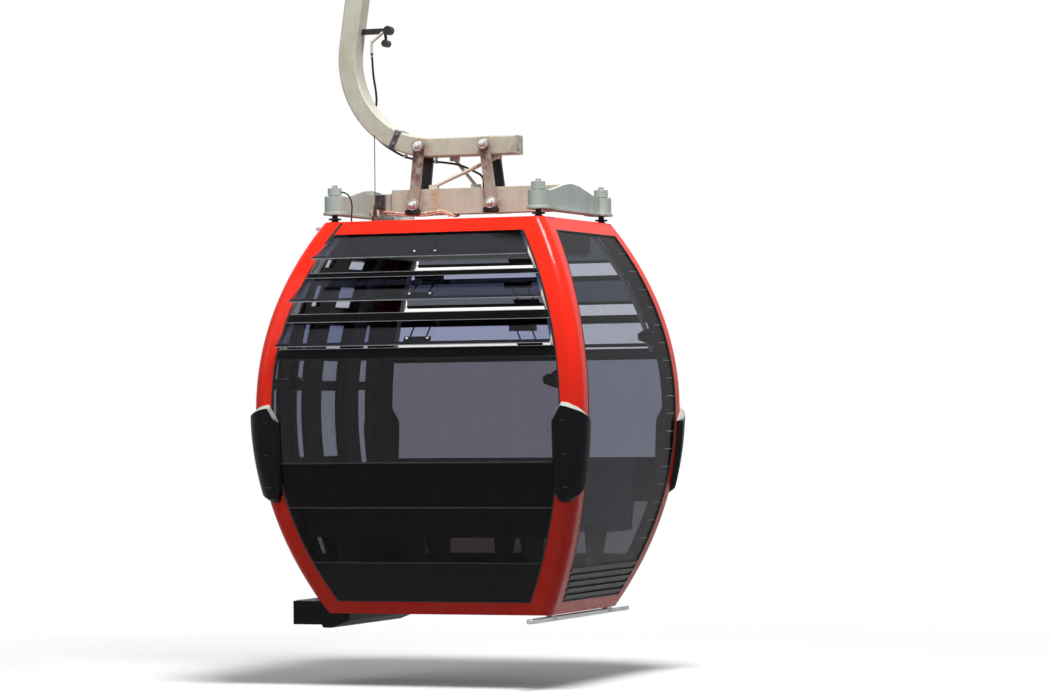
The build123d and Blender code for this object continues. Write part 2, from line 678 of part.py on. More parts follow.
# Roof carrier: cross beam, two wings with mount pots, rubber mounts
half_wide = ROOF_WIDTH / 2 - MOUNT_FROM_SIDE
half_long = ROOF_LENGTH / 2 - MOUNT_FROM_END
wing_face_x = half_wide - WING_THICKNESS / 2
beam = slab((-BEAM_STEP_X, wing_face_x), (-BEAM_THICKNESS / 2, BEAM_THICKNESS / 2), (CARRIER_LOW, BEAM_TOP))
beam += slab(
    (-wing_face_x, -BEAM_STEP_X),
    (-BEAM_STUB_THICKNESS / 2, BEAM_STUB_THICKNESS / 2),
    (BEAM_STUB_LOW, BEAM_STUB_LOW + BEAM_STUB_HEIGHT),
)
for x in LINK_LOW_X:
    for end in (-1, 1):
        mouth = (x, end * (BEAM_THICKNESS / 2 + 1), LINK_LOW_HEIGHT)
        seat = (x, end * (BEAM_THICKNESS / 2 - LINK_PIN_DEPTH - 2), LINK_LOW_HEIGHT)
        beam -= rod(mouth, seat, LINK_PIN_RADIUS + SNUG_FIT)
write("carrier_beam", beam)

wing_end_top = CARRIER_LOW + WING_END_HEIGHT
wing_points = [
    (-half_long, CARRIER_LOW),
    (half_long, CARRIER_LOW),
    (half_long, wing_end_top),
    (WING_SHOULDER, wing_end_top + WING_SHOULDER_RISE),
    (WING_CROWN_HALF, wing_end_top + WING_CROWN_RISE),
    (0, wing_end_top + WING_PEAK_RISE),
    (-WING_CROWN_HALF, wing_end_top + WING_CROWN_RISE),
    (-WING_SHOULDER, wing_end_top + WING_SHOULDER_RISE),
    (-half_long, wing_end_top),
]
wing_face = Plane.YZ * make_face(Polyline(*wing_points, close=True))
wing = extrude(wing_face, amount=WING_THICKNESS / 2, both=True)
flange_outline = SlotCenterToCenter(2 * half_long, 2 * (POT_RADIUS + FLANGE_LIP), rotation=90)
flange = extrude(Pos(0, 0, WING_LOW) * flange_outline, amount=FLANGE_THICKNESS)
waist_range = (-half_long + FLANGE_END, half_long - FLANGE_END)
flange -= slab((FLANGE_HALF, FAR), waist_range, (0, FAR))
flange -= slab((-FAR, -FLANGE_HALF), waist_range, (0, FAR))
wing += flange
for end in (-1, 1):
    pot = rod((0, 0, WING_LOW), (0, 0, POT_TOP), POT_RADIUS)
    pot += rod((0, 0, POT_TOP), (0, 0, POT_TOP + CAP_GAP), CAP_NECK_RADIUS)
    pot += rod((0, 0, POT_TOP + CAP_GAP), (0, 0, POT_TOP + CAP_GAP + CAP_HEIGHT), CAP_RADIUS)
    wing += Pos(0, end * half_long, 0) * pot
for place, side in (("left", -1), ("right", 1)):
    write(f"carrier_wing_{place}", Pos(side * half_wide, 0, 0) * wing)

mounts = Part()
disc_low = CABIN_HEIGHT + MOUNT_FOOT_HEIGHT
mount_profile = [
    (0, CABIN_HEIGHT),
    (MOUNT_FOOT_RADIUS, CABIN_HEIGHT),
    (MOUNT_STEM_RADIUS, disc_low),
    (MOUNT_DISC_RADIUS, disc_low + 2),
    (MOUNT_DISC_RADIUS, disc_low + 2 + MOUNT_DISC_THICKNESS),
    (MOUNT_STEM_RADIUS, disc_low + 4 + MOUNT_DISC_THICKNESS),
    (MOUNT_STEM_RADIUS, WING_LOW),
    (0, WING_LOW),
]
mount = revolve(Plane.XZ * make_face(Polyline(*mount_profile, close=True)), Axis.Z)
for side, end in CORNERS.values():
    mounts += Pos(side * half_wide, end * half_long, 0) * mount
write("rubber_mounts", mounts)

# Four suspension links with their pins
link_face_y = max(BEAM_THICKNESS, ARM_WIDTH) / 2 + LINK_GAP
for place, end in (("front", -1), ("rear", 1)):
    links = Part()
    for top_x, low_x in zip(LINK_TOP_X, LINK_LOW_X):
        top = Vector(top_x, 0, LINK_TOP_HEIGHT)
        low = Vector(low_x, 0, LINK_LOW_HEIGHT)
        length = (top - low).length
        lean = Vector(0, 0, 1).get_signed_angle(top - low, Vector(0, 1, 0))
        flat = Plane.XZ * SlotCenterToCenter(length, LINK_WIDTH, rotation=90)
        link = Pos(0, -link_face_y, 0) * extrude(flat, amount=LINK_THICKNESS, dir=(0, -1, 0))
        for offset in (-length / 2, length / 2):
            pin_start = (0, -ARM_WIDTH / 2 + LINK_PIN_DEPTH, offset)
            head_start = (0, -link_face_y - LINK_THICKNESS, offset)
            head_end = (0, -link_face_y - LINK_THICKNESS - LINK_HEAD_DEPTH, offset)
            link += rod(pin_start, head_start, LINK_PIN_RADIUS)
            link += rod(head_start, head_end, LINK_HEAD_RADIUS)
        middle = (top + low) / 2
        links += Pos(*middle) * Rot(0, lean, 0) * link
    if end > 0:
        links = mirror(links, about=Plane.XZ)
    write(f"links_{place}", links)

# Two brace rods between the hanger foot and the carrier beam
# Columns: y, low end x, high end x, radius
BRACES = ((-28, -213, 189, 11), (30, 32, -102, 10))
foot_low = ARM_FOOT_HEIGHT - ARM_DEPTH / 2
braces = Part()
for y, low_x, high_x, radius in BRACES:
    brace = rod((low_x, y, BEAM_TOP + BRACE_SEAT), (high_x, y, foot_low - BRACE_SEAT), radius)
    brace += Pos(low_x, y, BEAM_TOP + BRACE_FOOT[2] / 2) * Box(*BRACE_FOOT)
    brace += Pos(high_x, y, foot_low - BRACE_FOOT[2] / 2) * Box(*BRACE_FOOT)
    braces += brace
write("brace_rods", braces)

# Hanger arm with its hub
pivot_height = ROPE_HEIGHT - PIVOT_DROP
hub_start = -GRIP_BACK - SIDE_PLAY
arm_path = Plane.XZ * FilletPolyline(
    (ARM_FOOT_END, ARM_FOOT_HEIGHT),
    (-ARM_FOOT_CORNER, ARM_FOOT_HEIGHT),
    (-ARM_TOP_CORNER, pivot_height),
    (hub_start - HUB_LENGTH / 2, pivot_height),
    radius=(ARM_LOWER_BEND, ARM_UPPER_BEND),
)
arm_start = Plane(origin=arm_path @ 0, x_dir=(0, 1, 0), z_dir=(-1, 0, 0))
arm = sweep(arm_start * RectangleRounded(ARM_WIDTH, ARM_DEPTH, ARM_EDGE), path=arm_path)
arm += bar_along_x((hub_start - HUB_LENGTH, hub_start), 0, pivot_height, HUB_RADIUS)
arm -= bar_along_x((hub_start - HUB_LENGTH + 15, hub_start + 1), 0, pivot_height, PIVOT_RADIUS + RUNNING_FIT)
for x in LINK_TOP_X:
    for end in (-1, 1):
        mouth = (x, end * (ARM_WIDTH / 2 + 1), LINK_TOP_HEIGHT)
        seat = (x, end * (ARM_WIDTH / 2 - LINK_PIN_DEPTH - 2), LINK_TOP_HEIGHT)
        arm -= rod(mouth, seat, LINK_PIN_RADIUS + SNUG_FIT)
write("hanger_arm", arm)

# Door lever on the arm, with two rollers, a link and the cable that works the doors
arm_slope = (ARM_FOOT_CORNER - ARM_TOP_CORNER) / (pivot_height - ARM_FOOT_HEIGHT)
lever_z = ARM_FOOT_HEIGHT + DOOR_LEVER_RISE
lever_x = -ARM_FOOT_CORNER + DOOR_LEVER_RISE * arm_slope + ARM_DEPTH / 2 / cos(atan(arm_slope))
plate_length, plate_thickness, plate_height = DOOR_LEVER_PLATE
# Columns: both ends of each pin and rod, from the lever's root on the arm, and the radius
LEVER_RODS = (
    ((151, 0, -11), (157, 0, -77), 9),
    ((174, -22, 0), (174, 22, 0), 27),
    ((157, -26, -77), (157, 26, -77), 22),
    ((149, -16, -7), (69, -16, -68), 8),
    ((69, -16, -61), (67, -10, -146), 8),
)
door_lever = slab(
    (-plate_thickness, plate_length),
    (-plate_thickness / 2, plate_thickness / 2),
    (-DOOR_LEVER_DROP, plate_height - DOOR_LEVER_DROP),
)
for start, end, radius in LEVER_RODS:
    door_lever += rod(start, end, radius)
write("door_lever", Pos(lever_x, 0, lever_z) * door_lever - arm)


def cord_path(points):
    """Straight runs joined by arcs, each as large as its two shorter run allows."""
    radii = []
    for before, corner, after in zip(points, points[1:], points[2:]):
        first = Vector(*corner) - Vector(*before)
        second = Vector(*after) - Vector(*corner)
        turn = radians(first.get_angle(second))
        radii.append(0.45 * min(first.length, second.length) / tan(turn / 2))
    print("bend radii", [round(radius) for radius in radii])
    return FilletPolyline(*points, radius=radii)


def tube(points, radius):
    """A cable along its route."""
    path = cord_path(points)
    start = Plane(origin=path @ 0, z_dir=path % 0)
    return sweep(start * Circle(radius), path=path)


# Points of the door cable, with heights from the middle of the arm's foot
DOOR_CABLE = [
    (-614, -10, 560),
    (-614, 8, 438),
    (-616, 48, 358),
    (-622, 72, 283),
    (-652, 72, 178),
    (-639, 71, 92),
    (-560, 45, 30),
    (-447, 10, -31),
    (-372, 0, -59),
    (-270, 2, -76),
    (-153, 0, -88),
    (-60, -1, -104),
    (20, 0, -139),
    (92, 0, -177),
    (92, 0, BEAM_TOP - ARM_FOOT_HEIGHT),
]
write("door_cable", Pos(0, 0, ARM_FOOT_HEIGHT) * tube(DOOR_CABLE, DOOR_CABLE_RADIUS))

# Whip aerial on the roof, from its base up
aerial = Part()
section_low = roof_high
for radius, length in (AERIAL_BASE, AERIAL_SPRING, AERIAL_WHIP):
    aerial += rod((AERIAL_X, AERIAL_Y, section_low), (AERIAL_X, AERIAL_Y, section_low + length), radius)
    section_low += length
write("aerial", aerial)

# Grip: casting with the fixed jaw, the pivot pin, the lever lugs and the wheel axles
rope = rod((0, -FAR, ROPE_HEIGHT), (0, FAR, ROPE_HEIGHT), ROPE_RADIUS)
half_grip = GRIP_LENGTH / 2
grip_top = ROPE_HEIGHT + GRIP_TOP
grip = slab((-GRIP_BACK, -GRIP_FRONT), (-half_grip, half_grip), (ROPE_HEIGHT - GRIP_FLOOR, grip_top))
grip = fillet(grip.edges().filter_by(Axis.X), 18)
jaw_low = ROPE_HEIGHT - ROPE_RADIUS - JAW_WALL
jaw_points = [
    (-GRIP_FRONT - 10, ROPE_HEIGHT - JAW_SPLIT / 2),
    (-GRIP_FRONT - 10, jaw_low - 30),
    (-GRIP_FRONT, jaw_low - 30),
    (-12, jaw_low),
    (JAW_REACH - 8, jaw_low),
    (JAW_REACH, jaw_low + 14),
    (JAW_REACH, ROPE_HEIGHT - JAW_SPLIT / 2),
]
grip += extrude(Plane.XZ * make_face(Polyline(*jaw_points, close=True)), amount=JAW_LENGTH / 2, both=True)
grip += bar_along_x((hub_start - HUB_LENGTH + 20, -GRIP_BACK + 20), 0, pivot_height, PIVOT_RADIUS)

lever_base = ROPE_HEIGHT + JAW_PIN_Z + 30
plate_low = ROPE_HEIGHT + DRIVE_PLATE_HEIGHT - DRIVE_PLATE_THICKNESS
lug_inner = LEVER_WIDTH / 2 + 1
lug_outer = lug_inner + LUG_THICKNESS
lug_points = [
    (-JAW_PIN_X - 30, grip_top - 10),
    (-JAW_PIN_X - 30, lever_base - 14),
    (-JAW_PIN_X - 16, lever_base - 2),
    (-SPRING_X + 37, lever_base - 2),
    (-SPRING_X + 37, plate_low),
    (-JAW_PIN_X + 50, plate_low),
    (-JAW_PIN_X + 32, ROPE_HEIGHT + JAW_PIN_Z),
    (-GRIP_FRONT, grip_top - 10),
]
lug_face = Plane.XZ * make_face(Polyline(*lug_points, close=True))
wheel_height = ROPE_HEIGHT - WHEEL_DROP
wheel_start = -GRIP_BACK - SIDE_PLAY
for end in (-1, 1):
    lug = extrude(lug_face, amount=LUG_THICKNESS, dir=(0, end, 0))
    grip += Pos(0, end * lug_inner, 0) * lug
    axle_ends = (wheel_start - WHEEL_WIDTH - 3, -GRIP_BACK + 40)
    grip += bar_along_x(axle_ends, end * WHEEL_Y, wheel_height, WHEEL_AXLE_RADIUS)
    grip += slab(
        (-GRIP_BACK, -GRIP_BACK + 60),
        sorted((end * (half_grip - 20), end * (WHEEL_Y + 26))),
        (wheel_height - 28, wheel_height + 28),
    )
grip -= rope
jaw_pin_height = ROPE_HEIGHT + JAW_PIN_Z
pin_half = lug_outer + 3
pin_ends = ((-JAW_PIN_X, -pin_half, jaw_pin_height), (-JAW_PIN_X, pin_half, jaw_pin_height))
grip -= rod(*pin_ends, JAW_PIN_RADIUS + SNUG_FIT)
write("grip_body", grip)
write("jaw_pin", rod(*pin_ends, JAW_PIN_RADIUS))

# Moving jaw with its lever, held shut by two springs under the lever's wings
jaw_high = ROPE_HEIGHT + ROPE_RADIUS + JAW_WALL
lever_points = [
    (JAW_REACH, ROPE_HEIGHT + JAW_SPLIT / 2),
    (JAW_REACH, jaw_high - 14),
    (JAW_REACH - 8, jaw_high),
    (-30, lever_base),
    (-JAW_PIN_X - 10, lever_base),
    (-LEVER_REACH, lever_base + LEVER_RISE),
    (-LEVER_REACH, lever_base + LEVER_RISE - LEVER_THICKNESS),
    (-JAW_PIN_X - 34, jaw_pin_height - 24),
    (-JAW_PIN_X, grip_top + 4),
    (-GRIP_FRONT + 6, grip_top + 4),
    (-GRIP_FRONT + 24, ROPE_HEIGHT + JAW_SPLIT / 2),
]
lever = extrude(Plane.XZ * make_face(Polyline(*lever_points, close=True)), amount=LEVER_WIDTH / 2, both=True)
spring_reach = SPRING_RADIUS + SPRING_WIRE / 2
lever += slab(
    (-SPRING_X - spring_reach, -SPRING_X + spring_reach - 2),
    (-SPRING_Y - spring_reach, SPRING_Y + spring_reach),
    (lever_base, lever_base + LEVER_WING),
)
roller_height = lever_base + LEVER_RISE - LEVER_THICKNESS / 2
roller_start = -LEVER_REACH - SIDE_PLAY
roller_axle = (roller_start - ROLLER_WIDTH - 3, -LEVER_REACH + 30)
lever += bar_along_x(roller_axle, 0, roller_height, ROLLER_AXLE_RADIUS)
lever -= rope
lever -= rod(*pin_ends, JAW_PIN_RADIUS + SNUG_FIT)
write("grip_jaw", lever)

spring_low = grip_top
spring_pitch = (lever_base - spring_low - SPRING_WIRE) / (SPRING_TURNS - 1)
spring_core = rod((0, 0, spring_low), (0, 0, lever_base), SPRING_RADIUS - SPRING_WIRE / 2 + 1)
for turn in range(SPRING_TURNS):
    turn_height = spring_low + SPRING_WIRE / 2 + turn * spring_pitch
    spring_core += Pos(0, 0, turn_height) * Torus(SPRING_RADIUS, SPRING_WIRE / 2)
springs = Pos(-SPRING_X, -SPRING_Y, 0) * spring_core + Pos(-SPRING_X, SPRING_Y, 0) * spring_core
write("grip_springs", springs)

drive_plate = slab(
    (-SPRING_X, -SPRING_X + DRIVE_PLATE_WIDTH),
    (-DRIVE_PLATE_LENGTH / 2, DRIVE_PLATE_LENGTH / 2),
    (plate_low, plate_low + DRIVE_PLATE_THICKNESS),
)
drive_plate = chamfer(drive_plate.edges().filter_by(Axis.X).group_by(Axis.Z)[-1], DRIVE_PLATE_THICKNESS - 4)
write("drive_plate", drive_plate)

# Wheels that turn freely: two running wheels and the lever's roller
wheel_axle = WHEEL_AXLE_RADIUS
# Columns: name, axle y, axle height, start x, width, radius, bore radius
WHEELS = (
    ("running_wheel_front", -WHEEL_Y, wheel_height, wheel_start, WHEEL_WIDTH, WHEEL_RADIUS, wheel_axle),
    ("running_wheel_rear", WHEEL_Y, wheel_height, wheel_start, WHEEL_WIDTH, WHEEL_RADIUS, wheel_axle),
    ("lever_roller", 0, roller_height, roller_start, ROLLER_WIDTH, ROLLER_RADIUS, ROLLER_AXLE_RADIUS),
)
for name, y, height, start, width, radius, axle in WHEELS:
    wheel = fillet(bar_along_x((start - width, start), y, height, radius).edges(), 5)
    wheel -= bar_along_x((-FAR, FAR), y, height, axle + RUNNING_FIT)
    write(name, wheel)
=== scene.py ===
"""Cable car cabin: finishes, fine detail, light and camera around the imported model."""

from math import asin, cos, pi, radians, sin, sqrt

import bmesh
import bpy
from mathutils import Matrix, Vector


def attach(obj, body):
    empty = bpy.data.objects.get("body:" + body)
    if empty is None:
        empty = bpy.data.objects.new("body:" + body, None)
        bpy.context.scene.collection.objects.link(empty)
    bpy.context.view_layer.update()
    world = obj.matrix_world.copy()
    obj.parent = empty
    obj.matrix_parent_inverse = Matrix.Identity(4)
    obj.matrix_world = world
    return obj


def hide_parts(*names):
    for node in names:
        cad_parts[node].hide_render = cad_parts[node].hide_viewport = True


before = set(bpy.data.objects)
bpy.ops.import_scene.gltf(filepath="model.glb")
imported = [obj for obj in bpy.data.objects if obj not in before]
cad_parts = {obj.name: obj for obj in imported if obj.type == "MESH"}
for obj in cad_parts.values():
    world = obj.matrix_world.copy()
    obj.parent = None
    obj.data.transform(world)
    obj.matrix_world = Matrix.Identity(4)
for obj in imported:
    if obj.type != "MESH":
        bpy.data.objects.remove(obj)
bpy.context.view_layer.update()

# Heights are written from the underside of the cabin frame, in metres
ROPE_HEIGHT = 4.700
WAIST = 1.180
SIDE_WALL = (1.970, 2.355, 1.015)
END_WALL = (2.297, 2.456, 0.857)
PILLAR_ON_END = 0.121
PILLAR_ON_SIDE = 0.127
GLASS_LOW = 0.073
GLASS_TOP = 2.193
ROOF_TOP = 2.262
BAR_LINES = (1.530, 1.684, 1.732, 1.941, 1.969)
PANE_LINES = (0.301, 0.618, 0.874, 1.469)
# Columns: height of the top edge, height of the low edge, how far the low edge stands out
LOUVRES = ((2.193, 2.050, 0.090), (1.941, 1.802, 0.081), (1.684, 1.544, 0.063))
LINK_PINS = ((-0.285, 2.730), (0.130, 2.730), (-0.322, 2.380), (0.176, 2.380))


def at(x, y, height):
    """A point given by its height above the underside of the cabin frame."""
    return Vector((x, y, height - ROPE_HEIGHT))


def half_at(wall, inset, height):
    """Distance from the cabin's middle to a curved wall, inset by a thickness."""
    top_radius, low_radius, half = wall
    radius = top_radius if height > WAIST else low_radius
    return half - radius + sqrt((radius - inset) ** 2 - (height - WAIST) ** 2)


def steps(low, high, count):
    """Evenly spaced values from low to high."""
    return [low + (high - low) * i / (count - 1) for i in range(count)]


# ---- shader nodes ----

FLOAT, COLOR, VECTOR = "NodeSocketFloat", "NodeSocketColor", "NodeSocketVector"


def fill(tree, socket, value):
    """Link or set one input. Colours are written as red, green and blue."""
    if isinstance(value, bpy.types.NodeSocket):
        tree.links.new(value, socket)
    elif socket.type == "RGBA":
        socket.default_value = (*value, 1.0)
    else:
        socket.default_value = value


def node(tree, kind, inputs=(), **settings):
    """Add a shader node, set its properties and fill or link its inputs."""
    made = tree.nodes.new("ShaderNode" + kind)
    for key, value in settings.items():
        setattr(made, key, value)
    for key, value in dict(inputs).items():
        fill(tree, made.inputs[key], value)
    return made


def object_place(tree):
    return node(tree, "TexCoord").outputs["Object"]


def noise(tree, place, scale, detail, roughness=0.5):
    inputs = {"Vector": place, "Scale": scale, "Detail": detail, "Roughness": roughness}
    return node(tree, "TexNoise", inputs).outputs["Fac"]


def ramp(tree, value, low, high):
    """A mask that rises from 0 to 1 between two values."""
    return node(tree, "MapRange", {"Value": value, "From Min": low, "From Max": high}).outputs[0]


def spread(tree, value, low, high):
    """Turn a 0 to 1 value into a range, such as a roughness that varies."""
    return node(tree, "MapRange", {"Value": value, "To Min": low, "To Max": high}).outputs[0]


def calculate(tree, operation, first, second):
    return node(tree, "Math", {0: first, 1: second}, operation=operation).outputs[0]


def vector_math(tree, operation, *given):
    """A vector calculation: a length or a dot product gives a value, the others a vector."""
    made = node(tree, "VectorMath", enumerate(given), operation=operation)
    return made.outputs["Value" if operation in ("LENGTH", "DOT_PRODUCT") else "Vector"]


def blend_colors(tree, mask, first, second):
    """Mix two colours by a mask and give the result's socket."""
    return node(tree, "Mix", {0: mask, 6: first, 7: second}, data_type="RGBA").outputs[2]


# ---- node groups shared by the finishes ----


def group(name, inputs, outputs):
    """Start a shader node group. Each input is (name, type, value), each output (name, type)."""
    tree = bpy.data.node_groups.new(name, "ShaderNodeTree")
    for label, kind, value in inputs:
        socket = tree.interface.new_socket(label, in_out="INPUT", socket_type=kind)
        socket.default_value = value
    for label, kind in outputs:
        tree.interface.new_socket(label, in_out="OUTPUT", socket_type=kind)
    return tree, tree.nodes.new("NodeGroupInput").outputs, tree.nodes.new("NodeGroupOutput").inputs


def weathering_group():
    """Dust and dirt in clouds and in runs down the surface."""
    tree, given, result = group(
        "weathering",
        (
            ("Clean", COLOR, (1, 1, 1, 1)),
            ("Dirt", COLOR, (0.3, 0.25, 0.2, 1)),
            ("Amount", FLOAT, 0.3),
            ("Cloud Scale", FLOAT, 6.0),
            ("Runs", FLOAT, 0.5),
        ),
        (("Color", COLOR), ("Mask", FLOAT)),
    )
    place = object_place(tree)
    cloud = noise(tree, place, given["Cloud Scale"], 6.0, 0.62)
    stretched = node(tree, "Mapping", {"Vector": place, "Scale": (30.0, 30.0, 1.6)}).outputs[0]
    both = node(tree, "Mix", {0: given["Runs"], 2: cloud, 3: noise(tree, stretched, 1.0, 4.0)}).outputs[0]
    amount = calculate(tree, "MULTIPLY", ramp(tree, both, 0.42, 0.72), given["Amount"])
    tree.links.new(blend_colors(tree, amount, given["Clean"], given["Dirt"]), result["Color"])
    tree.links.new(amount, result["Mask"])
    return tree


def grain_group():
    """Fine relief: orange peel, casting skin or moulded texture, by its scale."""
    tree, given, result = group(
        "grain",
        (("Scale", FLOAT, 400.0), ("Detail", FLOAT, 3.0), ("Stretch", VECTOR, (1, 1, 1))),
        (("Height", FLOAT), ("Variation", FLOAT)),
    )
    place = vector_math(tree, "MULTIPLY", object_place(tree), given["Stretch"])
    tree.links.new(noise(tree, place, given["Scale"], given["Detail"]), result["Height"])
    tree.links.new(noise(tree, place, 9.0, 4.0), result["Variation"])
    return tree


def edge_group():
    """Rounded edges for sharp corners, and a mask of chipped spots on them, which carry worn paint and, on
    some finishes, a painted highlight.
    """
    tree, given, result = group(
        "edges",
        (("Radius", FLOAT, 0.003), ("Wear Scale", FLOAT, 40.0)),
        (("Normal", VECTOR), ("Mask", FLOAT)),
    )
    soft = node(tree, "Bevel", {"Radius": given["Radius"]}, samples=4).outputs[0]
    true = node(tree, "NewGeometry").outputs["Normal"]
    edge = ramp(tree, vector_math(tree, "DOT_PRODUCT", soft, true), 0.99, 0.86)
    chips = noise(tree, object_place(tree), given["Wear Scale"], 5.0)
    tree.links.new(soft, result["Normal"])
    tree.links.new(calculate(tree, "MULTIPLY", edge, ramp(tree, chips, 0.48, 0.62)), result["Mask"])
    return tree


def patch_group():
    """A blotchy patch round one place, running down from it."""
    tree, given, result = group(
        "patch",
        (("Centre", VECTOR, (0, 0, 0)), ("Radius", FLOAT, 0.1), ("Run Down", FLOAT, 1.0)),
        (("Mask", FLOAT),),
    )
    place = object_place(tree)
    away = vector_math(tree, "SUBTRACT", place, given["Centre"])
    x, y, z = node(tree, "SeparateXYZ", {0: away}).outputs
    height = calculate(tree, "DIVIDE", z, given["Run Down"])
    joined = node(tree, "CombineXYZ", {0: x, 1: y, 2: height}).outputs[0]
    share = calculate(tree, "DIVIDE", vector_math(tree, "LENGTH", joined), given["Radius"])
    blotch = ramp(tree, noise(tree, place, 28.0, 6.0, 0.7), 0.40, 0.62)
    tree.links.new(calculate(tree, "MULTIPLY", ramp(tree, share, 1.0, 0.1), blotch), result["Mask"])
    return tree


def inner_dark_group():
    """A mask of the faces that look towards the cabin's upright middle line."""
    tree, given, result = group("lining", (("Softness", FLOAT, 0.04),), (("Mask", FLOAT),))
    outward = vector_math(tree, "MULTIPLY", object_place(tree), (1.0, 1.0, 0.0))
    dot = vector_math(tree, "DOT_PRODUCT", node(tree, "NewGeometry").outputs["Normal"], outward)
    edge = calculate(tree, "MULTIPLY", given["Softness"], -1.0)
    tree.links.new(ramp(tree, dot, -0.02, edge), result["Mask"])
    return tree


def top_sheen_group():
    """A mask of the faces that look up, where a pale painted highlight goes."""
    inputs = (("Level", FLOAT, 0.30), ("Full", FLOAT, 0.62))
    tree, given, result = group("settled", inputs, (("Mask", FLOAT),))
    parts = node(tree, "SeparateXYZ", {0: node(tree, "NewGeometry").outputs["Normal"]})
    tree.links.new(ramp(tree, parts.outputs[2], given["Level"], given["Full"]), result["Mask"])
    return tree


WEATHERING = weathering_group()
GRAIN = grain_group()
EDGES = edge_group()
PATCH = patch_group()
INNER_DARK = inner_dark_group()
TOP_SHEEN = top_sheen_group()

# ---- finishes ----


def use(tree, shared, **inputs):
    """Place a shared group and give its outputs. Underscores in input names stand for spaces."""
    made = tree.nodes.new("ShaderNodeGroup")
    made.node_tree = shared
    for label, value in inputs.items():
        fill(tree, made.inputs[label.replace("_", " ")], value)
    return made.outputs


def new_material(name, **constants):
    """A material with one Principled shader, whose constant sockets are set here."""
    material = bpy.data.materials.new(name)
    material.use_nodes = True
    tree = material.node_tree
    tree.nodes.clear()
    output = node(tree, "OutputMaterial")
    shader = node(tree, "BsdfPrincipled")
    tree.links.new(shader.outputs[0], output.inputs[0])
    for key, value in constants.items():
        fill(tree, shader.inputs[key.replace("_", " ")], value)
    return material, tree, shader


def finished(
    name, color, dirt, amount, roughness, relief,
    edge=None, lining=None, settled=None, stains=(), cloud=6.0, runs=0.5, **constants,
):
    """A weathered surface: colour, dirt, roughness range, relief, worn edges, painted highlights on some
    edges, and local patches.

    relief is (scale, detail, depth in metres); edge is (radius, colour of the bare edge, which on red_paint
    and galvanised is a painted highlight);
    the inward-face colour makes the faces that look into the cabin darker; the upward-face colour is a pale
    painted highlight on faces that look up;
    each patch is (centre, radius, run down, colour); on the beam these are rust stains, on the front links
    darker maroon patches.
    """
    material, tree, shader = new_material(name, **constants)
    grain = use(tree, GRAIN, Scale=relief[0], Detail=relief[1])
    grime = use(tree, WEATHERING, Clean=color, Dirt=dirt, Amount=amount, Cloud_Scale=cloud, Runs=runs)
    tint = grime["Color"]
    for centre, radius, run_down, patch_color in stains:
        patch = use(tree, PATCH, Centre=centre, Radius=radius, Run_Down=run_down)
        tint = blend_colors(tree, patch["Mask"], tint, patch_color)
    bump = node(tree, "Bump", {"Height": grain["Height"], "Strength": 1.0, "Distance": relief[2]})
    # The edge colour is worn bare edge on most finishes and a painted highlight on red_paint and galvanised.
    if edge:
        edges = use(tree, EDGES, Radius=edge[0])
        tint = blend_colors(tree, edges["Mask"], tint, edge[1])
        tree.links.new(edges["Normal"], bump.inputs["Normal"])
    # The inward-face colour darkens the inner faces; the upward-face colour is a painted highlight.
    for shared, cover in ((INNER_DARK, lining), (TOP_SHEEN, settled)):
        if cover:
            tint = blend_colors(tree, use(tree, shared)["Mask"], tint, cover)
    tree.links.new(tint, shader.inputs["Base Color"])
    tree.links.new(spread(tree, grain["Variation"], *roughness), shader.inputs["Roughness"])
    tree.links.new(bump.outputs[0], shader.inputs["Normal"])
    return material


def glass(name, color, bend, clear_below=None):
    """Tinted window glass, by its colour and its refractive index, with a little dust.

    clear_below is a height and the paler colour of the panes under it.
    """
    constants = dict(Metallic=0.0, Transmission_Weight=1.0, Roughness=0.0, IOR=bend)
    material, tree, shader = new_material(name, **constants)
    dusty = [0.75 * channel + 0.03 for channel in color]
    tint = use(tree, WEATHERING, Clean=color, Dirt=dusty, Amount=0.5, Cloud_Scale=3.0, Runs=0.6)["Color"]
    if clear_below:
        height = node(tree, "SeparateXYZ", {0: object_place(tree)}).outputs[2]
        level = clear_below[0] - ROPE_HEIGHT
        tint = blend_colors(tree, ramp(tree, height, level + 0.001, level), tint, clear_below[1])
    tree.links.new(tint, shader.inputs["Base Color"])
    return material


RUST = (0.30, 0.10, 0.035)
DARK_RUST = (0.10, 0.045, 0.025)
WATER_RUST = (0.42, 0.24, 0.12)
MAROON = (0.085, 0.020, 0.018)
BEAM_STAINS = (
    *((at(x, y, z), 0.095, 1.4, RUST) for x, z in LINK_PINS for y in (-0.09, 0.09)),
    (at(0.30, 0.0, 2.70), 0.10, 1.0, DARK_RUST),
    (at(-0.20, -0.06, 2.42), 0.07, 2.5, WATER_RUST),
    (at(-0.45, 0.0, 2.71), 0.10, 1.0, RUST),
)
# Darker maroon patches round the upper ends of the front links, on their front faces.
LINK_DARK_PATCHES = [(at(x, -0.08, 2.66), 0.15, 1.5, MAROON) for x in (-0.30, -0.29, 0.12)]

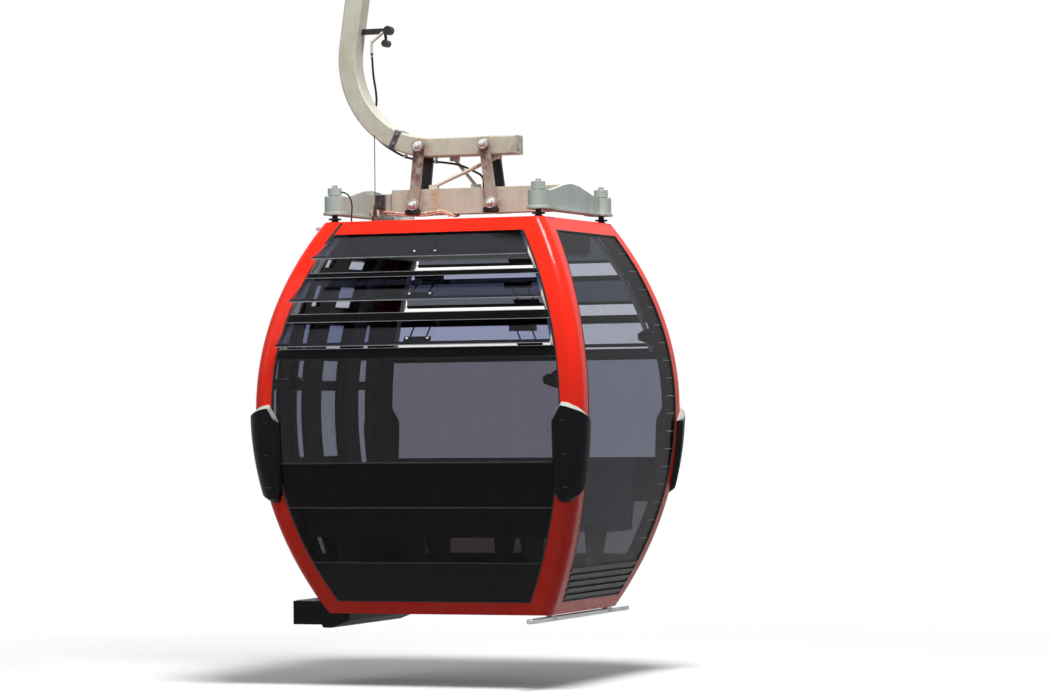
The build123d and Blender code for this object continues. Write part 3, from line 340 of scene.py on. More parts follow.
# Columns: name, colour, dirt, amount of dirt, roughness range, relief as scale, detail and depth, the rest
FINISHES = (
    # red_paint's brighter orange red on the chipped edges is a painted highlight.
    ("red_paint", (0.86, 0.020, 0.006), (0.45, 0.06, 0.03), 0.12, (0.22, 0.34), (60.0, 2.0, 0.0001),
     # The faces of the pillars and rails that look into the cabin are made dark maroon.
     dict(edge=(0.003, (0.93, 0.10, 0.05)), lining=(0.045, 0.003, 0.004), Coat_Weight=0.15,
          Specular_IOR_Level=0.06)),
    ("roof_paint", (0.50, 0.035, 0.018), (0.34, 0.24, 0.17), 0.55, (0.42, 0.62), (220.0, 3.0, 0.0003),
     dict(edge=(0.003, (0.60, 0.20, 0.12)))),
    ("black_trim", (0.0028, 0.0028, 0.0034), (0.022, 0.020, 0.017), 0.20, (0.25, 0.40), (500.0, 2.0, 0.0002),
     dict(edge=(0.002, (0.05, 0.05, 0.05)), Specular_IOR_Level=0.07)),
    ("dark_glazing", (0.0045, 0.0030, 0.0042), (0.018, 0.013, 0.012), 0.30, (0.04, 0.10), (30.0, 2.0, 0.0001),
     dict(Specular_IOR_Level=0.10)),
    ("print_black", (0.003, 0.003, 0.004), (0.012, 0.011, 0.010), 0.20, (0.30, 0.45), (300.0, 2.0, 0.0001),
     dict(Specular_IOR_Level=0.15)),
    # moulded_black's pale grey-green on faces that look up is a painted sky highlight.
    ("moulded_black", (0.0025, 0.0034, 0.0045), (0.014, 0.013, 0.012), 0.22, (0.30, 0.46),
     (900.0, 2.0, 0.0004),
     dict(edge=(0.004, (0.05, 0.05, 0.05)), settled=(0.42, 0.45, 0.40), Specular_IOR_Level=0.09)),
    ("rubber", (0.008, 0.008, 0.008), (0.060, 0.054, 0.046), 0.30, (0.55, 0.75), (700.0, 2.0, 0.0002),
     dict(edge=(0.002, (0.05, 0.05, 0.05)), Specular_IOR_Level=0.3)),
    ("grey_paint", (0.40, 0.45, 0.42), (0.22, 0.19, 0.15), 0.42, (0.40, 0.62), (160.0, 3.0, 0.0004),
     dict(edge=(0.003, (0.55, 0.57, 0.52)))),
    ("aluminium", (0.42, 0.44, 0.46), (0.16, 0.15, 0.14), 0.45, (0.30, 0.48), (600.0, 2.0, 0.0002),
     dict(edge=(0.002, (0.75, 0.76, 0.78)), Metallic=0.85)),
    ("steel", (0.40, 0.40, 0.39), (0.17, 0.12, 0.085), 0.55, (0.32, 0.55), (300.0, 3.0, 0.0003),
     dict(edge=(0.002, (0.62, 0.62, 0.62)), Metallic=0.85)),
    ("bright_steel", (0.56, 0.56, 0.55), (0.24, 0.18, 0.13), 0.40, (0.22, 0.40), (260.0, 3.0, 0.0002),
     dict(edge=(0.002, (0.80, 0.80, 0.80)), Metallic=0.9)),
    ("cast_iron", (0.24, 0.25, 0.26), (0.10, 0.075, 0.05), 0.60, (0.48, 0.70), (120.0, 4.0, 0.0012),
     dict(edge=(0.004, (0.42, 0.43, 0.44)), Metallic=0.35)),
    ("bench_plastic", (0.030, 0.030, 0.032), (0.09, 0.08, 0.065), 0.30, (0.45, 0.60), (800.0, 2.0, 0.0003),
     dict(edge=(0.003, (0.12, 0.12, 0.12)))),
    ("liner_plastic", (0.020, 0.019, 0.021), (0.060, 0.050, 0.040), 0.30, (0.50, 0.65), (500.0, 2.0, 0.0003),
     dict(edge=(0.004, (0.07, 0.07, 0.07)))),
    ("floor_mat", (0.035, 0.035, 0.037), (0.14, 0.12, 0.09), 0.60, (0.70, 0.85), (500.0, 3.0, 0.0006), {}),
    ("tyre_band", (0.16, 0.075, 0.025), (0.05, 0.04, 0.03), 0.50, (0.50, 0.70), (300.0, 3.0, 0.0003), {}),
    ("cream_metal", (0.62, 0.60, 0.52), (0.34, 0.28, 0.21), 0.50, (0.40, 0.60), (300.0, 3.0, 0.0003),
     dict(edge=(0.002, (0.80, 0.78, 0.70)))),
    ("rust_brown", (0.10, 0.045, 0.032), (0.040, 0.030, 0.025), 0.50, (0.45, 0.65), (240.0, 3.0, 0.0004),
     dict(edge=(0.002, (0.25, 0.14, 0.10)))),
    ("dark_steel", (0.085, 0.074, 0.084), (0.050, 0.040, 0.038), 0.45, (0.42, 0.60), (260.0, 3.0, 0.0003),
     dict(edge=(0.003, (0.24, 0.22, 0.22)), Metallic=0.2)),
    # Dark paint for the door lever; on the rear links the same near-black colour is painted shade.
    ("dark_paint_and_shade", (0.016, 0.012, 0.016), (0.055, 0.036, 0.030), 0.45, (0.40, 0.58), (200.0, 3.0, 0.0003),
     dict(edge=(0.003, (0.14, 0.11, 0.10)), Specular_IOR_Level=0.25)),
    ("lead_pink", (0.62, 0.36, 0.28), (0.30, 0.15, 0.11), 0.60, (0.45, 0.60), (300.0, 2.0, 0.0002), {}),
    # galvanised's pale cream on the chipped edges is a painted highlight along the hanger's and beam's rims.
    ("galvanised", (0.47, 0.46, 0.38), (0.30, 0.26, 0.19), 0.55, (0.42, 0.66), (90.0, 4.0, 0.0005),
     dict(edge=(0.004, (0.76, 0.73, 0.64)), stains=BEAM_STAINS, cloud=11.0, runs=0.35, Metallic=0.15)),
    ("link_paint", (0.36, 0.31, 0.26), (0.19, 0.13, 0.10), 0.60, (0.42, 0.62), (90.0, 4.0, 0.0005),
     dict(edge=(0.004, (0.66, 0.62, 0.54)), stains=LINK_DARK_PATCHES, cloud=11.0, runs=0.35, Metallic=0.15)),
)
# Columns: name, colour, refractive index, height and colour of paler panes
GLASSES = (
    ("window_glass", (0.330, 0.325, 0.372), 1.25),
    ("louvre_glass_front", (0.305, 0.328, 0.485), 1.25),
    ("louvre_glass_rear", (0.105, 0.116, 0.144), 1.25, (1.70, (0.84, 0.84, 0.86))),
    ("side_glass", (0.390, 0.410, 0.480), 1.07),
    ("low_glass", (0.170, 0.150, 0.150), 1.15),
)
MADE_FINISHES = {row[0]: finished(*row[:-1], **row[-1]) for row in FINISHES}
MADE_FINISHES.update({row[0]: glass(*row) for row in GLASSES})

CAD_FINISH = {
    "cast_iron": "grip_body grip_jaw",
    "steel": "jaw_pin grip_springs drive_plate door_rail running_wheel_front running_wheel_rear lever_roller",
    "galvanised": "hanger_arm carrier_beam",
    # The rear links take the near-black finish as painted shade; the front links keep link_paint.
    "dark_paint_and_shade": "door_lever links_rear",
    "link_paint": "links_front",
    "cream_metal": "brace_rods",
    "grey_paint": "carrier_wing_left carrier_wing_right",
    "rubber": "door_cable aerial rubber_mounts",
    "red_paint": "roof_rail floor_rail pillar_front_left pillar_front_right"
    " pillar_rear_left pillar_rear_right",
    "roof_paint": "roof_panel",
    "liner_plastic": "headliner",
    "floor_mat": "floor_panel",
    "black_trim": "door_portal door_side_kicks door_side_frames side_kick band_front band_rear"
    " louvre_bars_front louvre_bars_rear door_leaf_front door_leaf_rear",
    "moulded_black": "door_sill buffers_front buffers_rear",
    "aluminium": "guide_rail",
    "bench_plastic": "bench_front bench_rear",
    "dark_glazing": "kick_front kick_rear",
    "low_glass": "low_window_front low_window_rear",
    "window_glass": "main_window_front main_window_rear",
    "louvre_glass_front": "louvres_front",
    "louvre_glass_rear": "louvres_rear",
    "side_glass": "door_side_panes side_window door_panes_front door_panes_rear",
}
for finish, names in CAD_FINISH.items():
    for name in names.split():
        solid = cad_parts[name]
        solid.data.materials.clear()
        solid.data.materials.append(MADE_FINISHES[finish])

# ---- building pieces in mesh code ----

X_AXIS, Y_AXIS, Z_AXIS = Vector((1, 0, 0)), Vector((0, 1, 0)), Vector((0, 0, 1))
ENDS = (("front", -1), ("rear", 1))
SIDES = (-1, 1)


def linear_frame(origin, x_axis, z_axis):
    """A matrix whose local X and Z run along two given directions."""
    x_axis, z_axis = x_axis.normalized(), z_axis.normalized()
    turn = Matrix((x_axis, z_axis.cross(x_axis), z_axis)).transposed()
    return Matrix.Translation(origin) @ turn.to_4x4()


def facing(origin, outward):
    """A local frame whose Z points outward."""
    return linear_frame(origin, Z_AXIS.cross(outward), outward)


def corner_point(side, end, side_inset, end_inset, height):
    """A point near a corner of the cabin, inset from both walls."""
    x, y = half_at(SIDE_WALL, side_inset, height), half_at(END_WALL, end_inset, height)
    return at(side * x, end * y, height)


def corner_line(side, end, side_inset, end_inset, heights):
    return [corner_point(side, end, side_inset, end_inset, height) for height in heights]


def round_points(radius, count, start=0.0):
    """Points evenly spaced round a circle in the local XY plane."""
    turns = [start + 2 * pi * i / count for i in range(count)]
    return [Vector((radius * cos(t), radius * sin(t), 0.0)) for t in turns]


def add_loft(made, rings, closed=False):
    """Faces between rings of equal length, with caps, or joined end to end when closed."""
    loops = [[made.verts.new(point) for point in ring] for ring in rings]
    pairs = list(zip(loops, loops[1:]))
    if closed:
        pairs.append((loops[-1], loops[0]))
    else:
        made.faces.new(reversed(loops[0]))
        made.faces.new(loops[-1])
    for low, high in pairs:
        for i, vert in enumerate(low):
            j = (i + 1) % len(low)
            made.faces.new((vert, low[j], high[j], high[i]))


def add_box(made, place, size, bevel=0.001):
    """A box with eased edges round a middle point or in a local frame."""
    matrix = place if isinstance(place, Matrix) else Matrix.Translation(place)
    shape = bmesh.ops.create_cube(made, size=1.0, matrix=matrix @ Matrix.Diagonal((*size, 1.0)))
    edges = list({edge for vert in shape["verts"] for edge in vert.link_edges})
    bmesh.ops.bevel(made, geom=edges, offset=bevel, segments=2, affect="EDGES", clamp_overlap=True)


def add_prism(made, points, across, thickness):
    """A flat plate from the points of one face, as thick as given along a direction."""
    shift = across.normalized() * thickness / 2
    add_loft(made, ([p - shift for p in points], [p + shift for p in points]))


def add_turned(made, matrix, profile, segments=24, hollow=False):
    """A turned shape from (radius, height) points along the local Z axis."""
    turns = [2 * pi * i / segments for i in range(segments)]
    rings = [[matrix @ Vector((radius * cos(t), radius * sin(t), z)) for t in turns] for radius, z in profile]
    add_loft(made, rings, closed=hollow)


def add_tube(made, points, radius, sides=10, closed=False):
    """A round bar or bead through a list of points."""
    points = [Vector(point) for point in points]
    turns = [2 * pi * k / sides for k in range(sides)]
    rings = []
    normal = None
    last = len(points) - 1
    for i, point in enumerate(points):
        before = points[i - 1] if i or closed else point
        after = points[(i + 1) % len(points)] if i < last or closed else point
        along = (after - before).normalized()
        normal = normal or along.orthogonal().normalized()
        normal = (normal - along * normal.dot(along)).normalized()
        across = along.cross(normal)
        rings.append([point + radius * (cos(t) * normal + sin(t) * across) for t in turns])
    add_loft(made, rings, closed=closed)


def add_band(made, points, across, width, depth):
    """A flat bar along a list of points, wide across one direction and deep at right angles to it."""
    corners = ((-1, -1), (1, -1), (1, 1), (-1, 1))
    rings = []
    for i, point in enumerate(points):
        along = (points[min(i + 1, len(points) - 1)] - points[max(i - 1, 0)]).normalized()
        outward = along.cross(across).normalized()
        rings.append([point + across * (a * width / 2) + outward * (b * depth / 2) for a, b in corners])
    add_loft(made, rings)


def smooth_path(points, per_run=8):
    """Points along a smooth curve through the given ones."""
    points = [Vector(point) for point in points]
    ends = [2 * points[0] - points[1], *points, 2 * points[-1] - points[-2]]
    path = []
    for a, b, c, d in zip(ends, ends[1:], ends[2:], ends[3:]):
        for step in range(per_run):
            t = step / per_run
            curve = 2 * b + (c - a) * t + (2 * a - 5 * b + 4 * c - d) * t**2 + (3 * b - a - 3 * c + d) * t**3
            path.append(0.5 * curve)
    return path + [points[-1]]


def add_hex_bolt(made, matrix, across_flats, head, washer=True):
    """A hexagon head with its chamfer and washer, standing along the local Z axis."""
    radius = across_flats / 2 / cos(radians(30))
    base = 0.0
    if washer:
        rim = radius * 1.25
        base = head * 0.24
        add_turned(made, matrix, ((rim, -0.001), (rim, head * 0.18), (radius * 1.18, base)), 20)
    add_turned(made, matrix, ((radius, base), (radius, base + head * 0.82), (radius * 0.86, base + head)), 6)


def add_dome_nut(made, matrix, radius):
    """A washer, a hexagon and a domed cap, standing along the local Z axis."""
    rim = radius * 1.30
    add_turned(made, matrix, ((rim, -0.001), (rim, radius * 0.12), (radius * 1.22, radius * 0.18)), 28)
    flank = ((radius, radius * 0.18), (radius, radius * 0.62), (radius * 0.9, radius * 0.72))
    add_turned(made, matrix, flank, 6)
    dome = [(radius * 0.86 * cos(a), radius * (0.70 + 0.66 * sin(a))) for a in steps(0.0, pi / 2 * 0.97, 7)]
    add_turned(made, matrix, dome, 24)


def piece(name, finish, body, slot, build, *given):
    """Make one piece from a function that fills its mesh, and let it ride on a body."""
    mesh = bpy.data.meshes.new(name)
    made = bmesh.new()
    build(made, *given)
    bmesh.ops.recalc_face_normals(made, faces=made.faces)
    for face in made.faces:
        face.smooth = True
    made.to_mesh(mesh)
    made.free()
    mesh.set_sharp_from_angle(angle=radians(34))
    mesh.materials.append(MADE_FINISHES[finish])
    thing = bpy.data.objects.new(name, mesh)
    bpy.context.scene.collection.objects.link(thing)
    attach(thing, body)
    return thing


def cabin_pieces(rows):
    """Pieces that ride on the cabin, each named as the function that builds it."""
    for build, finish, slot in rows:
        piece(build.__name__, finish, "cabin", slot, build)


# ---- window beads, seams and seals ----

SIDE_KICK_TOP = 0.268
BEAD, SEAM = 0.0065, 0.0045
LEAF_LOW, LEAF_TOP = 0.100, 2.104
LEAF_PANE = (0.112, 0.366)
LEAF_WINDOWS = (
    (0.330, 0.590), (0.900, 1.301), (1.353, 1.481), (1.550, 1.692), (1.796, 1.920), (2.024, 2.075),
)


def glass_beads(made, end):
    """Rubber beads round the end wall's glass and between its panels, and a dark strip on the door side's
    pillar top that is a painted shadow.
    """
    inset = PILLAR_ON_END + 0.004
    for side in SIDES:
        add_tube(made, corner_line(side, end, inset, 0.005, steps(GLASS_LOW, BAR_LINES[0], 30)), BEAD)
        heights = steps(BAR_LINES[0] - 0.02, GLASS_TOP, 24)
        add_band(made, corner_line(side, end, PILLAR_ON_END + 0.0065, 0.003, heights), X_AXIS, 0.013, 0.004)
    # A dark band on the door side's pillar top only: a painted shadow, built as a rubber strip.
    run = corner_line(-1, end, PILLAR_ON_END - 0.008, -0.0006, steps(GLASS_TOP - 0.05, ROOF_TOP, 12))
    add_band(made, run, X_AXIS, 0.019, 0.0024)
    for height in (GLASS_LOW + 0.003, *PANE_LINES):
        add_tube(made, [corner_point(side, end, inset, 0.003, height) for side in SIDES], SEAM)


def side_beads(made):
    """Rubber beads round the closed side's window and the door side's panes."""
    inset = PILLAR_ON_SIDE + 0.004
    for end in SIDES:
        for side in SIDES:
            add_tube(made, corner_line(side, end, 0.004, inset, steps(GLASS_LOW, GLASS_TOP, 40)), BEAD)
    for height in (GLASS_LOW + 0.003, SIDE_KICK_TOP, GLASS_TOP - 0.003):
        add_tube(made, [corner_point(1, end, 0.003, inset, height) for end in SIDES], 0.0055)


def leaf_seals(made, end):
    """The rubber edge where the door leaves meet, and the beads round a leaf's windows."""

    def on_leaf(y, height, proud):
        return at(-half_at(SIDE_WALL, -proud, height), end * y, height)

    heights = steps(LEAF_LOW + 0.004, LEAF_TOP - 0.004, 40)
    add_band(made, [on_leaf(0.0014, z, 0.025) for z in heights], Y_AXIS, 0.0026, 0.027)
    for low, high in LEAF_WINDOWS:
        run = [on_leaf(LEAF_PANE[0], z, 0.035) for z in steps(low, high, 6 if high - low > 0.2 else 3)]
        run += [on_leaf(LEAF_PANE[1], p.z + ROPE_HEIGHT, 0.035) for p in reversed(run)]
        add_tube(made, run, SEAM, 8, closed=True)


for place, end in ENDS:
    piece(f"glass_beads_{place}", "rubber", "cabin", "rubber_black", glass_beads, end)
    piece(f"leaf_seals_{place}", "rubber", f"door_{place}", "rubber_black", leaf_seals, end)
piece("side_beads", "rubber", "cabin", "rubber_black", side_beads)

# ---- louvre fittings ----

BAR_DEPTH = 0.036
LOUVRE_SIDE_GAP = 0.009
SCREW_UP, SCREW_SHIFT = 0.046, 0.03
CHEEK_GAP = 0.0165
CHEEK_FEET = (1.972, 1.735, 1.532)


def louvre_frame(end, top, low, stand_out):
    """A louvre's local frame, with X along it, Y up its slope and Z out of its face, and its half length."""
    low_point = at(0.0, end * (half_at(END_WALL, 0.0, low) + stand_out), low)
    slope = at(0.0, end * half_at(END_WALL, BAR_DEPTH / 2, top), top) - low_point
    matrix = linear_frame(low_point, X_AXIS * -end, X_AXIS.cross(slope) * -end)
    return matrix, half_at(SIDE_WALL, PILLAR_ON_END, low) - LOUVRE_SIDE_GAP


def louvre_borders(made, end):
    """The printed dark border along each louvre's low edge, on the glass's inner face."""
    for louvre in LOUVRES:
        matrix, half = louvre_frame(end, *louvre)
        place = matrix @ Matrix.Translation((0, 0.014, -0.0036))
        add_box(made, place, (2 * half - 0.004, 0.026, 0.0008), 0.0002)


def louvre_edges(made, end):
    """The polished low edge of each louvre and the bright seams along the cross bars."""
    for louvre in LOUVRES:
        matrix, half = louvre_frame(end, *louvre)
        add_box(made, matrix @ Matrix.Translation((0, 0.0002, 0)), (2 * half - 0.002, 0.0012, 0.0062), 0.0003)
    for height in BAR_LINES:
        half = half_at(SIDE_WALL, PILLAR_ON_END, height) - 0.010
        y = end * half_at(END_WALL, 0.0015, height)
        add_tube(made, [at(-half, y, height), at(half, y, height)], 0.0016, 6)


def louvre_channels(made, end):
    """The pale side channels that the louvres close against, with a cheek plate at each louvre's end."""
    for side in SIDES:
        heights = steps(BAR_LINES[0] - 0.02, GLASS_TOP - 0.004, 24)
        add_band(made, corner_line(side, end, PILLAR_ON_END + 0.026, 0.036, heights), X_AXIS, 0.024, 0.018)
        for louvre, foot in zip(LOUVRES, CHEEK_FEET):
            low, stand_out = louvre[1:]
            outer = ((low + 0.075, -0.030), (low + 0.006, 0.4 * stand_out))
            inner = ((foot, 0.0), (foot, -0.040), (low, -0.040))
            corners = []
            for height, proud in outer + inner:
                x = side * (half_at(SIDE_WALL, PILLAR_ON_END, height) - CHEEK_GAP)
                corners.append(at(x, end * (half_at(END_WALL, 0.0, height) + proud), height))
            add_prism(made, corners, X_AXIS, 0.003)


def louvre_screws(made, end):
    """Two button screws near the middle of each louvre's low edge."""
    button = ((0.0075, -0.0005), (0.0075, 0.0015), (0.005, 0.0034), (0.0012, 0.0042))
    for louvre in LOUVRES:
        matrix = louvre_frame(end, *louvre)[0]
        for offset in (-0.064, 0.064):
            place = matrix @ Matrix.Translation((offset + SCREW_SHIFT * -end, SCREW_UP, 0.003))
            add_turned(made, place, button, 16)


def louvre_stays(made, end):
    """The dark plate behind each pair of screws and the stay arms from it to the opener."""
    for top, low, stand_out in LOUVRES:
        matrix = louvre_frame(end, top, low, stand_out)[0]
        middle = SCREW_SHIFT * -end
        add_box(made, matrix @ Matrix.Translation((middle, SCREW_UP, -0.0062)), (0.166, 0.034, 0.005), 0.001)
        for offset in (-0.05, 0.05):
            start = matrix @ Vector((middle + offset, SCREW_UP, -0.007))
            height = top - 0.020 if top < GLASS_TOP else top + 0.003
            add_tube(made, (start, at(start.x, end * half_at(END_WALL, BAR_DEPTH, top), height)), 0.005, 8)


LOUVRE_FITTINGS = (
    (louvre_borders, "print_black", "black_trim"),
    (louvre_edges, "aluminium", "aluminium"),
    (louvre_channels, "cream_metal", "grey_paint"),
    (louvre_screws, "steel", "steel"),
    (louvre_stays, "black_trim", "black_trim"),
)
for place, end in ENDS:
    for build, finish, slot in LOUVRE_FITTINGS:
        piece(f"{build.__name__}_{place}", finish, "cabin", slot, build, end)

# ---- corner buffers ----

CORNER_RADIUS = 0.068
BUFFER_END_X = 0.843
BUFFER_REACH = 0.255
BUFFER_SIDE_EDGE = 0.748
BUFFER_PROUD = 0.0328
BUFFER_RIM = 0.008
BUFFER_BEVEL = 0.021
BUFFER_COUNT = 30
# Columns: distance along the wall from the edge on the end wall, height
BUFFER_HIGH = ((0.0, 1.105), (0.062, 1.214), (0.104, 1.207), (0.157, 1.180), (0.211, 1.142), (0.255, 1.095))
BUFFER_LOW = ((0.0, 0.712), (0.040, 0.652), (0.104, 0.648), (0.157, 0.652), (0.211, 0.672), (0.255, 0.722))


def curve_value(points, place):
    """A height read from a line of (place, height) points."""
    for (x0, z0), (x1, z1) in zip(points, points[1:]):
        if place <= x1:
            return z0 + (z1 - z0) * (place - x0) / (x1 - x0)
    return points[-1][1]


def buffer_point(side, end, place, height, proud):
    """A point on a buffer, from its edge on the end wall at 0 round to its edge on the side wall."""
    arc = CORNER_RADIUS * pi / 2
    centre_x = half_at(SIDE_WALL, CORNER_RADIUS, height)
    centre_y = half_at(END_WALL, CORNER_RADIUS, height)
    run = centre_x - BUFFER_END_X
    past = centre_y - BUFFER_SIDE_EDGE
    if past < 0:
        past = -CORNER_RADIUS * asin(-past / CORNER_RADIUS)
    place *= (run + arc + past) / BUFFER_REACH
    if place < run:
        return at(side * (BUFFER_END_X + place), end * half_at(END_WALL, -proud, height), height)
    if place < run + arc:
        turn = pi / 2 - (place - run) / CORNER_RADIUS
        reach = CORNER_RADIUS + proud
        return at(side * (centre_x + reach * cos(turn)), end * (centre_y + reach * sin(turn)), height)
    along = centre_y - (place - run - arc)
    return at(side * half_at(SIDE_WALL, -proud, height), end * along, height)


def bevelled_steps(low, high):
    """Values from one edge of a buffer to the other, closer together on the bevels."""
    inner = steps(low + BUFFER_BEVEL, high - BUFFER_BEVEL, BUFFER_COUNT)
    return [low, low + BUFFER_BEVEL / 2, *inner, high - BUFFER_BEVEL / 2, high]


def buffer_bodies(made, end):
    """The moulded buffers: a wide bevel all round, a raised face and a rim down to the wall."""
    for side in SIDES:
        columns = []
        for place in bevelled_steps(0.0, BUFFER_REACH):
            low, high = curve_value(BUFFER_LOW, place), curve_value(BUFFER_HIGH, place)
            column = []
            for height in bevelled_steps(low, high):
                depth = min(place, BUFFER_REACH - place, height - low, high - height)
                proud = BUFFER_RIM + (BUFFER_PROUD - BUFFER_RIM) * min(depth / BUFFER_BEVEL, 1.0)
                column.append(made.verts.new(buffer_point(side, end, place, height, proud)))
            foot = [made.verts.new(buffer_point(side, end, place, height, -0.005)) for height in (low, high)]
            columns.append([foot[0], *column, foot[1]])
        for left, right in zip(columns, columns[1:]):
            for low, high in zip(range(len(left) - 1), range(1, len(left))):
                made.faces.new((left[low], right[low], right[high], left[high]))
        for column in (columns[0], columns[-1]):
            low, high = column[0], column[-1]
            skirt = [low]
            for vert in column[2:-2]:
                share = (vert.co.z - column[1].co.z) / (column[-2].co.z - column[1].co.z)
                skirt.append(made.verts.new(low.co.lerp(high.co, share)))
            skirt.append(high)
            for i, (a, b) in enumerate(zip(skirt, skirt[1:])):
                made.faces.new((a, b, column[i + 2], column[i + 1]))


def buffer_marks(made, end):
    """Three small screw covers down the end face of each buffer."""
    for side in SIDES:
        for height in (0.735, 0.920, 1.112):
            y = end * half_at(END_WALL, -BUFFER_PROUD + 0.0008, height)
            add_box(made, at(side * (BUFFER_END_X + 0.075), y, height), (0.030, 0.0024, 0.008), 0.001)


for place, end in ENDS:
    body = piece(f"buffer_bodies_{place}", "moulded_black", "cabin", "rubber_black", buffer_bodies, end)
    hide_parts(f"buffers_{place}")
    piece(f"buffer_marks_{place}", "rubber", "cabin", "rubber_black", buffer_marks, end)

# ---- hanger, links and roof carrier ----

LINK_HEAD_FACE = 0.108
ARM_BEND = 0.540
ARM_BEND_X = -0.217
ARM_FOOT = 2.722
COLLAR_TURN = 0.447
HUB_END = -0.260
PIVOT_HEIGHT = -0.060
CARRIER_X, CARRIER_Y = 0.638, 0.506
CARRIER_FLOOR = 2.326
POT_TOP = 2.421
CAP_TOP = 2.470
BEAM_STEP = -0.472
STUB_FACE = 0.049
AERIAL_X, AERIAL_Y = -0.540, -0.150
COIL_TURNS, COIL_STEPS = 6, 20
TERMINAL_X, TERMINAL_Y = -0.5515, -0.128
# Columns: place on the door cable, direction along it, direction to the arm, distance to the arm
CABLE_CLIPS = (
    ((-0.637, 0.072, 2.9525), (-0.030, 0, -0.105), (0, -1, 0), 0.012),
    ((-0.4095, 0.005, 2.677), (0.075, -0.010, -0.028), (0.1925, 0, 0.585), 0.020),
    ((-0.210, 0.001, 2.640), (0.117, 0, -0.012), (0, 0, 1), 0.026),
)
LEVER_ROOT = (-0.6814, 0.0, 3.431)
# Points of the link from the lever's root on the arm
LEVER_LINK = ((0.145, -0.016, -0.010), (0.069, -0.016, -0.067), (0.067, -0.011, -0.130))
HOSE_ROUTE = (
    (-0.600, -0.502, 2.447), (-0.582, -0.500, 2.445), (-0.558, -0.496, 2.431), (-0.541, -0.493, 2.400),
    (-0.535, -0.491, 2.360), (-0.539, -0.489, 2.315), (-0.541, -0.488, 2.266),
)
LEAD_ROUTE = (
    (-0.552, -0.132, 2.285), (-0.566, -0.100, 2.322), (-0.545, -0.066, 2.342), (-0.500, -0.0575, 2.348),
    (-0.448, -0.0670, 2.341), (-0.370, -0.0672, 2.333), (-0.287, -0.0672, 2.331), (-0.220, -0.0672, 2.338),
    (-0.152, -0.0672, 2.344), (-0.110, -0.0668, 2.332), (-0.082, -0.0640, 2.317), (-0.070, -0.046, 2.3125),
    (-0.062, -0.012, 2.318),
)


def link_nuts(made):
    """A domed nut on the outer face of each link's pin head."""
    for x, z in LINK_PINS:
        for end in SIDES:
            add_dome_nut(made, facing(at(x, end * LINK_HEAD_FACE, z), Y_AXIS * end), 0.023)


def link_stops(made):
    """The dark blocks under the links' low ends, on the faces of the beam."""
    for x, _ in LINK_PINS[2:]:
        for end in SIDES:
            add_box(made, at(x, end * 0.095, 2.3415), (0.092, 0.034, 0.029), 0.004)


def arm_collars(made):
    """A clamp band round the arm's lower bend, with two bolts in its front face."""
    turn = COLLAR_TURN
    place = at(ARM_BEND_X - ARM_BEND * sin(turn), 0.0, ARM_FOOT + ARM_BEND - ARM_BEND * cos(turn))
    matrix = linear_frame(place, Vector((-cos(turn), 0.0, sin(turn))), Y_AXIS)
    half_deep, half_wide = 0.0588, 0.0628
    add_box(made, matrix, (0.046, 2 * half_deep, 2 * half_wide), 0.004)
    for side in SIDES:
        spot = matrix @ Matrix.Translation((0.0, 0.030 * side, -half_wide)) @ Matrix.Rotation(pi, 4, "X")
        add_hex_bolt(made, spot, 0.018, 0.009)


def lever_link(made):
    """The pale pressed link between the door lever and the end of its cable."""
    root_x, root_y, root_z = LEVER_ROOT
    add_tube(made, [at(root_x + x, root_y + y, root_z + z) for x, y, z in LEVER_LINK], 0.0092, 14)


def cable_clips(made):
    """Saddle clips that hold the door cable to the arm."""
    for place, along, towards, gap in CABLE_CLIPS:
        along, towards = Vector(along).normalized(), Vector(towards).normalized()
        towards = (towards - along * towards.dot(along)).normalized()
        matrix = linear_frame(at(*place), towards, along)
        ring = ((0.0062, -0.009), (0.0110, -0.008), (0.0110, 0.008), (0.0062, 0.009))
        add_turned(made, matrix, ring, 20, hollow=True)
        reach = gap - 0.009
        stem = matrix @ Matrix.Translation((0.009 + reach / 2, 0, 0))
        foot = matrix @ Matrix.Translation((gap - 0.0005, 0, 0))
        add_box(made, stem, (reach + 0.003, 0.012, 0.015), 0.001)
        add_box(made, foot, (0.003, 0.040, 0.017), 0.001)


def hub_plate(made):
    """The cover and bolt circle on the outer face of the arm's hub."""
    place = facing(Vector((HUB_END, 0.0, PIVOT_HEIGHT)), -X_AXIS)
    cover = ((0.060, -0.001), (0.060, 0.004), (0.054, 0.008), (0.018, 0.009), (0.012, 0.013))
    add_turned(made, place, cover, 36)
    for offset in round_points(0.070, 8):
        add_hex_bolt(made, place @ Matrix.Translation(offset), 0.013, 0.006, washer=False)


def carrier_bolts(made):
    """Bolts along the wing flanges and on the pots, with their caps."""
    for side in SIDES:
        for offset in (-0.027, 0.027):
            for y in (-0.36, -0.27, -0.13, 0.13, 0.27, 0.36):
                spot = Matrix.Translation(at(side * CARRIER_X + offset, y, CARRIER_FLOOR))
                add_hex_bolt(made, spot, 0.016, 0.008)
        for end in SIDES:
            place = at(side * CARRIER_X, end * CARRIER_Y, CAP_TOP)
            add_hex_bolt(made, Matrix.Translation(place), 0.030, 0.014)
            rim = place + Z_AXIS * (POT_TOP - CAP_TOP)
            for offset in round_points(0.052, 4, 0.3):
                add_hex_bolt(made, Matrix.Translation(rim + offset), 0.009, 0.005, washer=False)


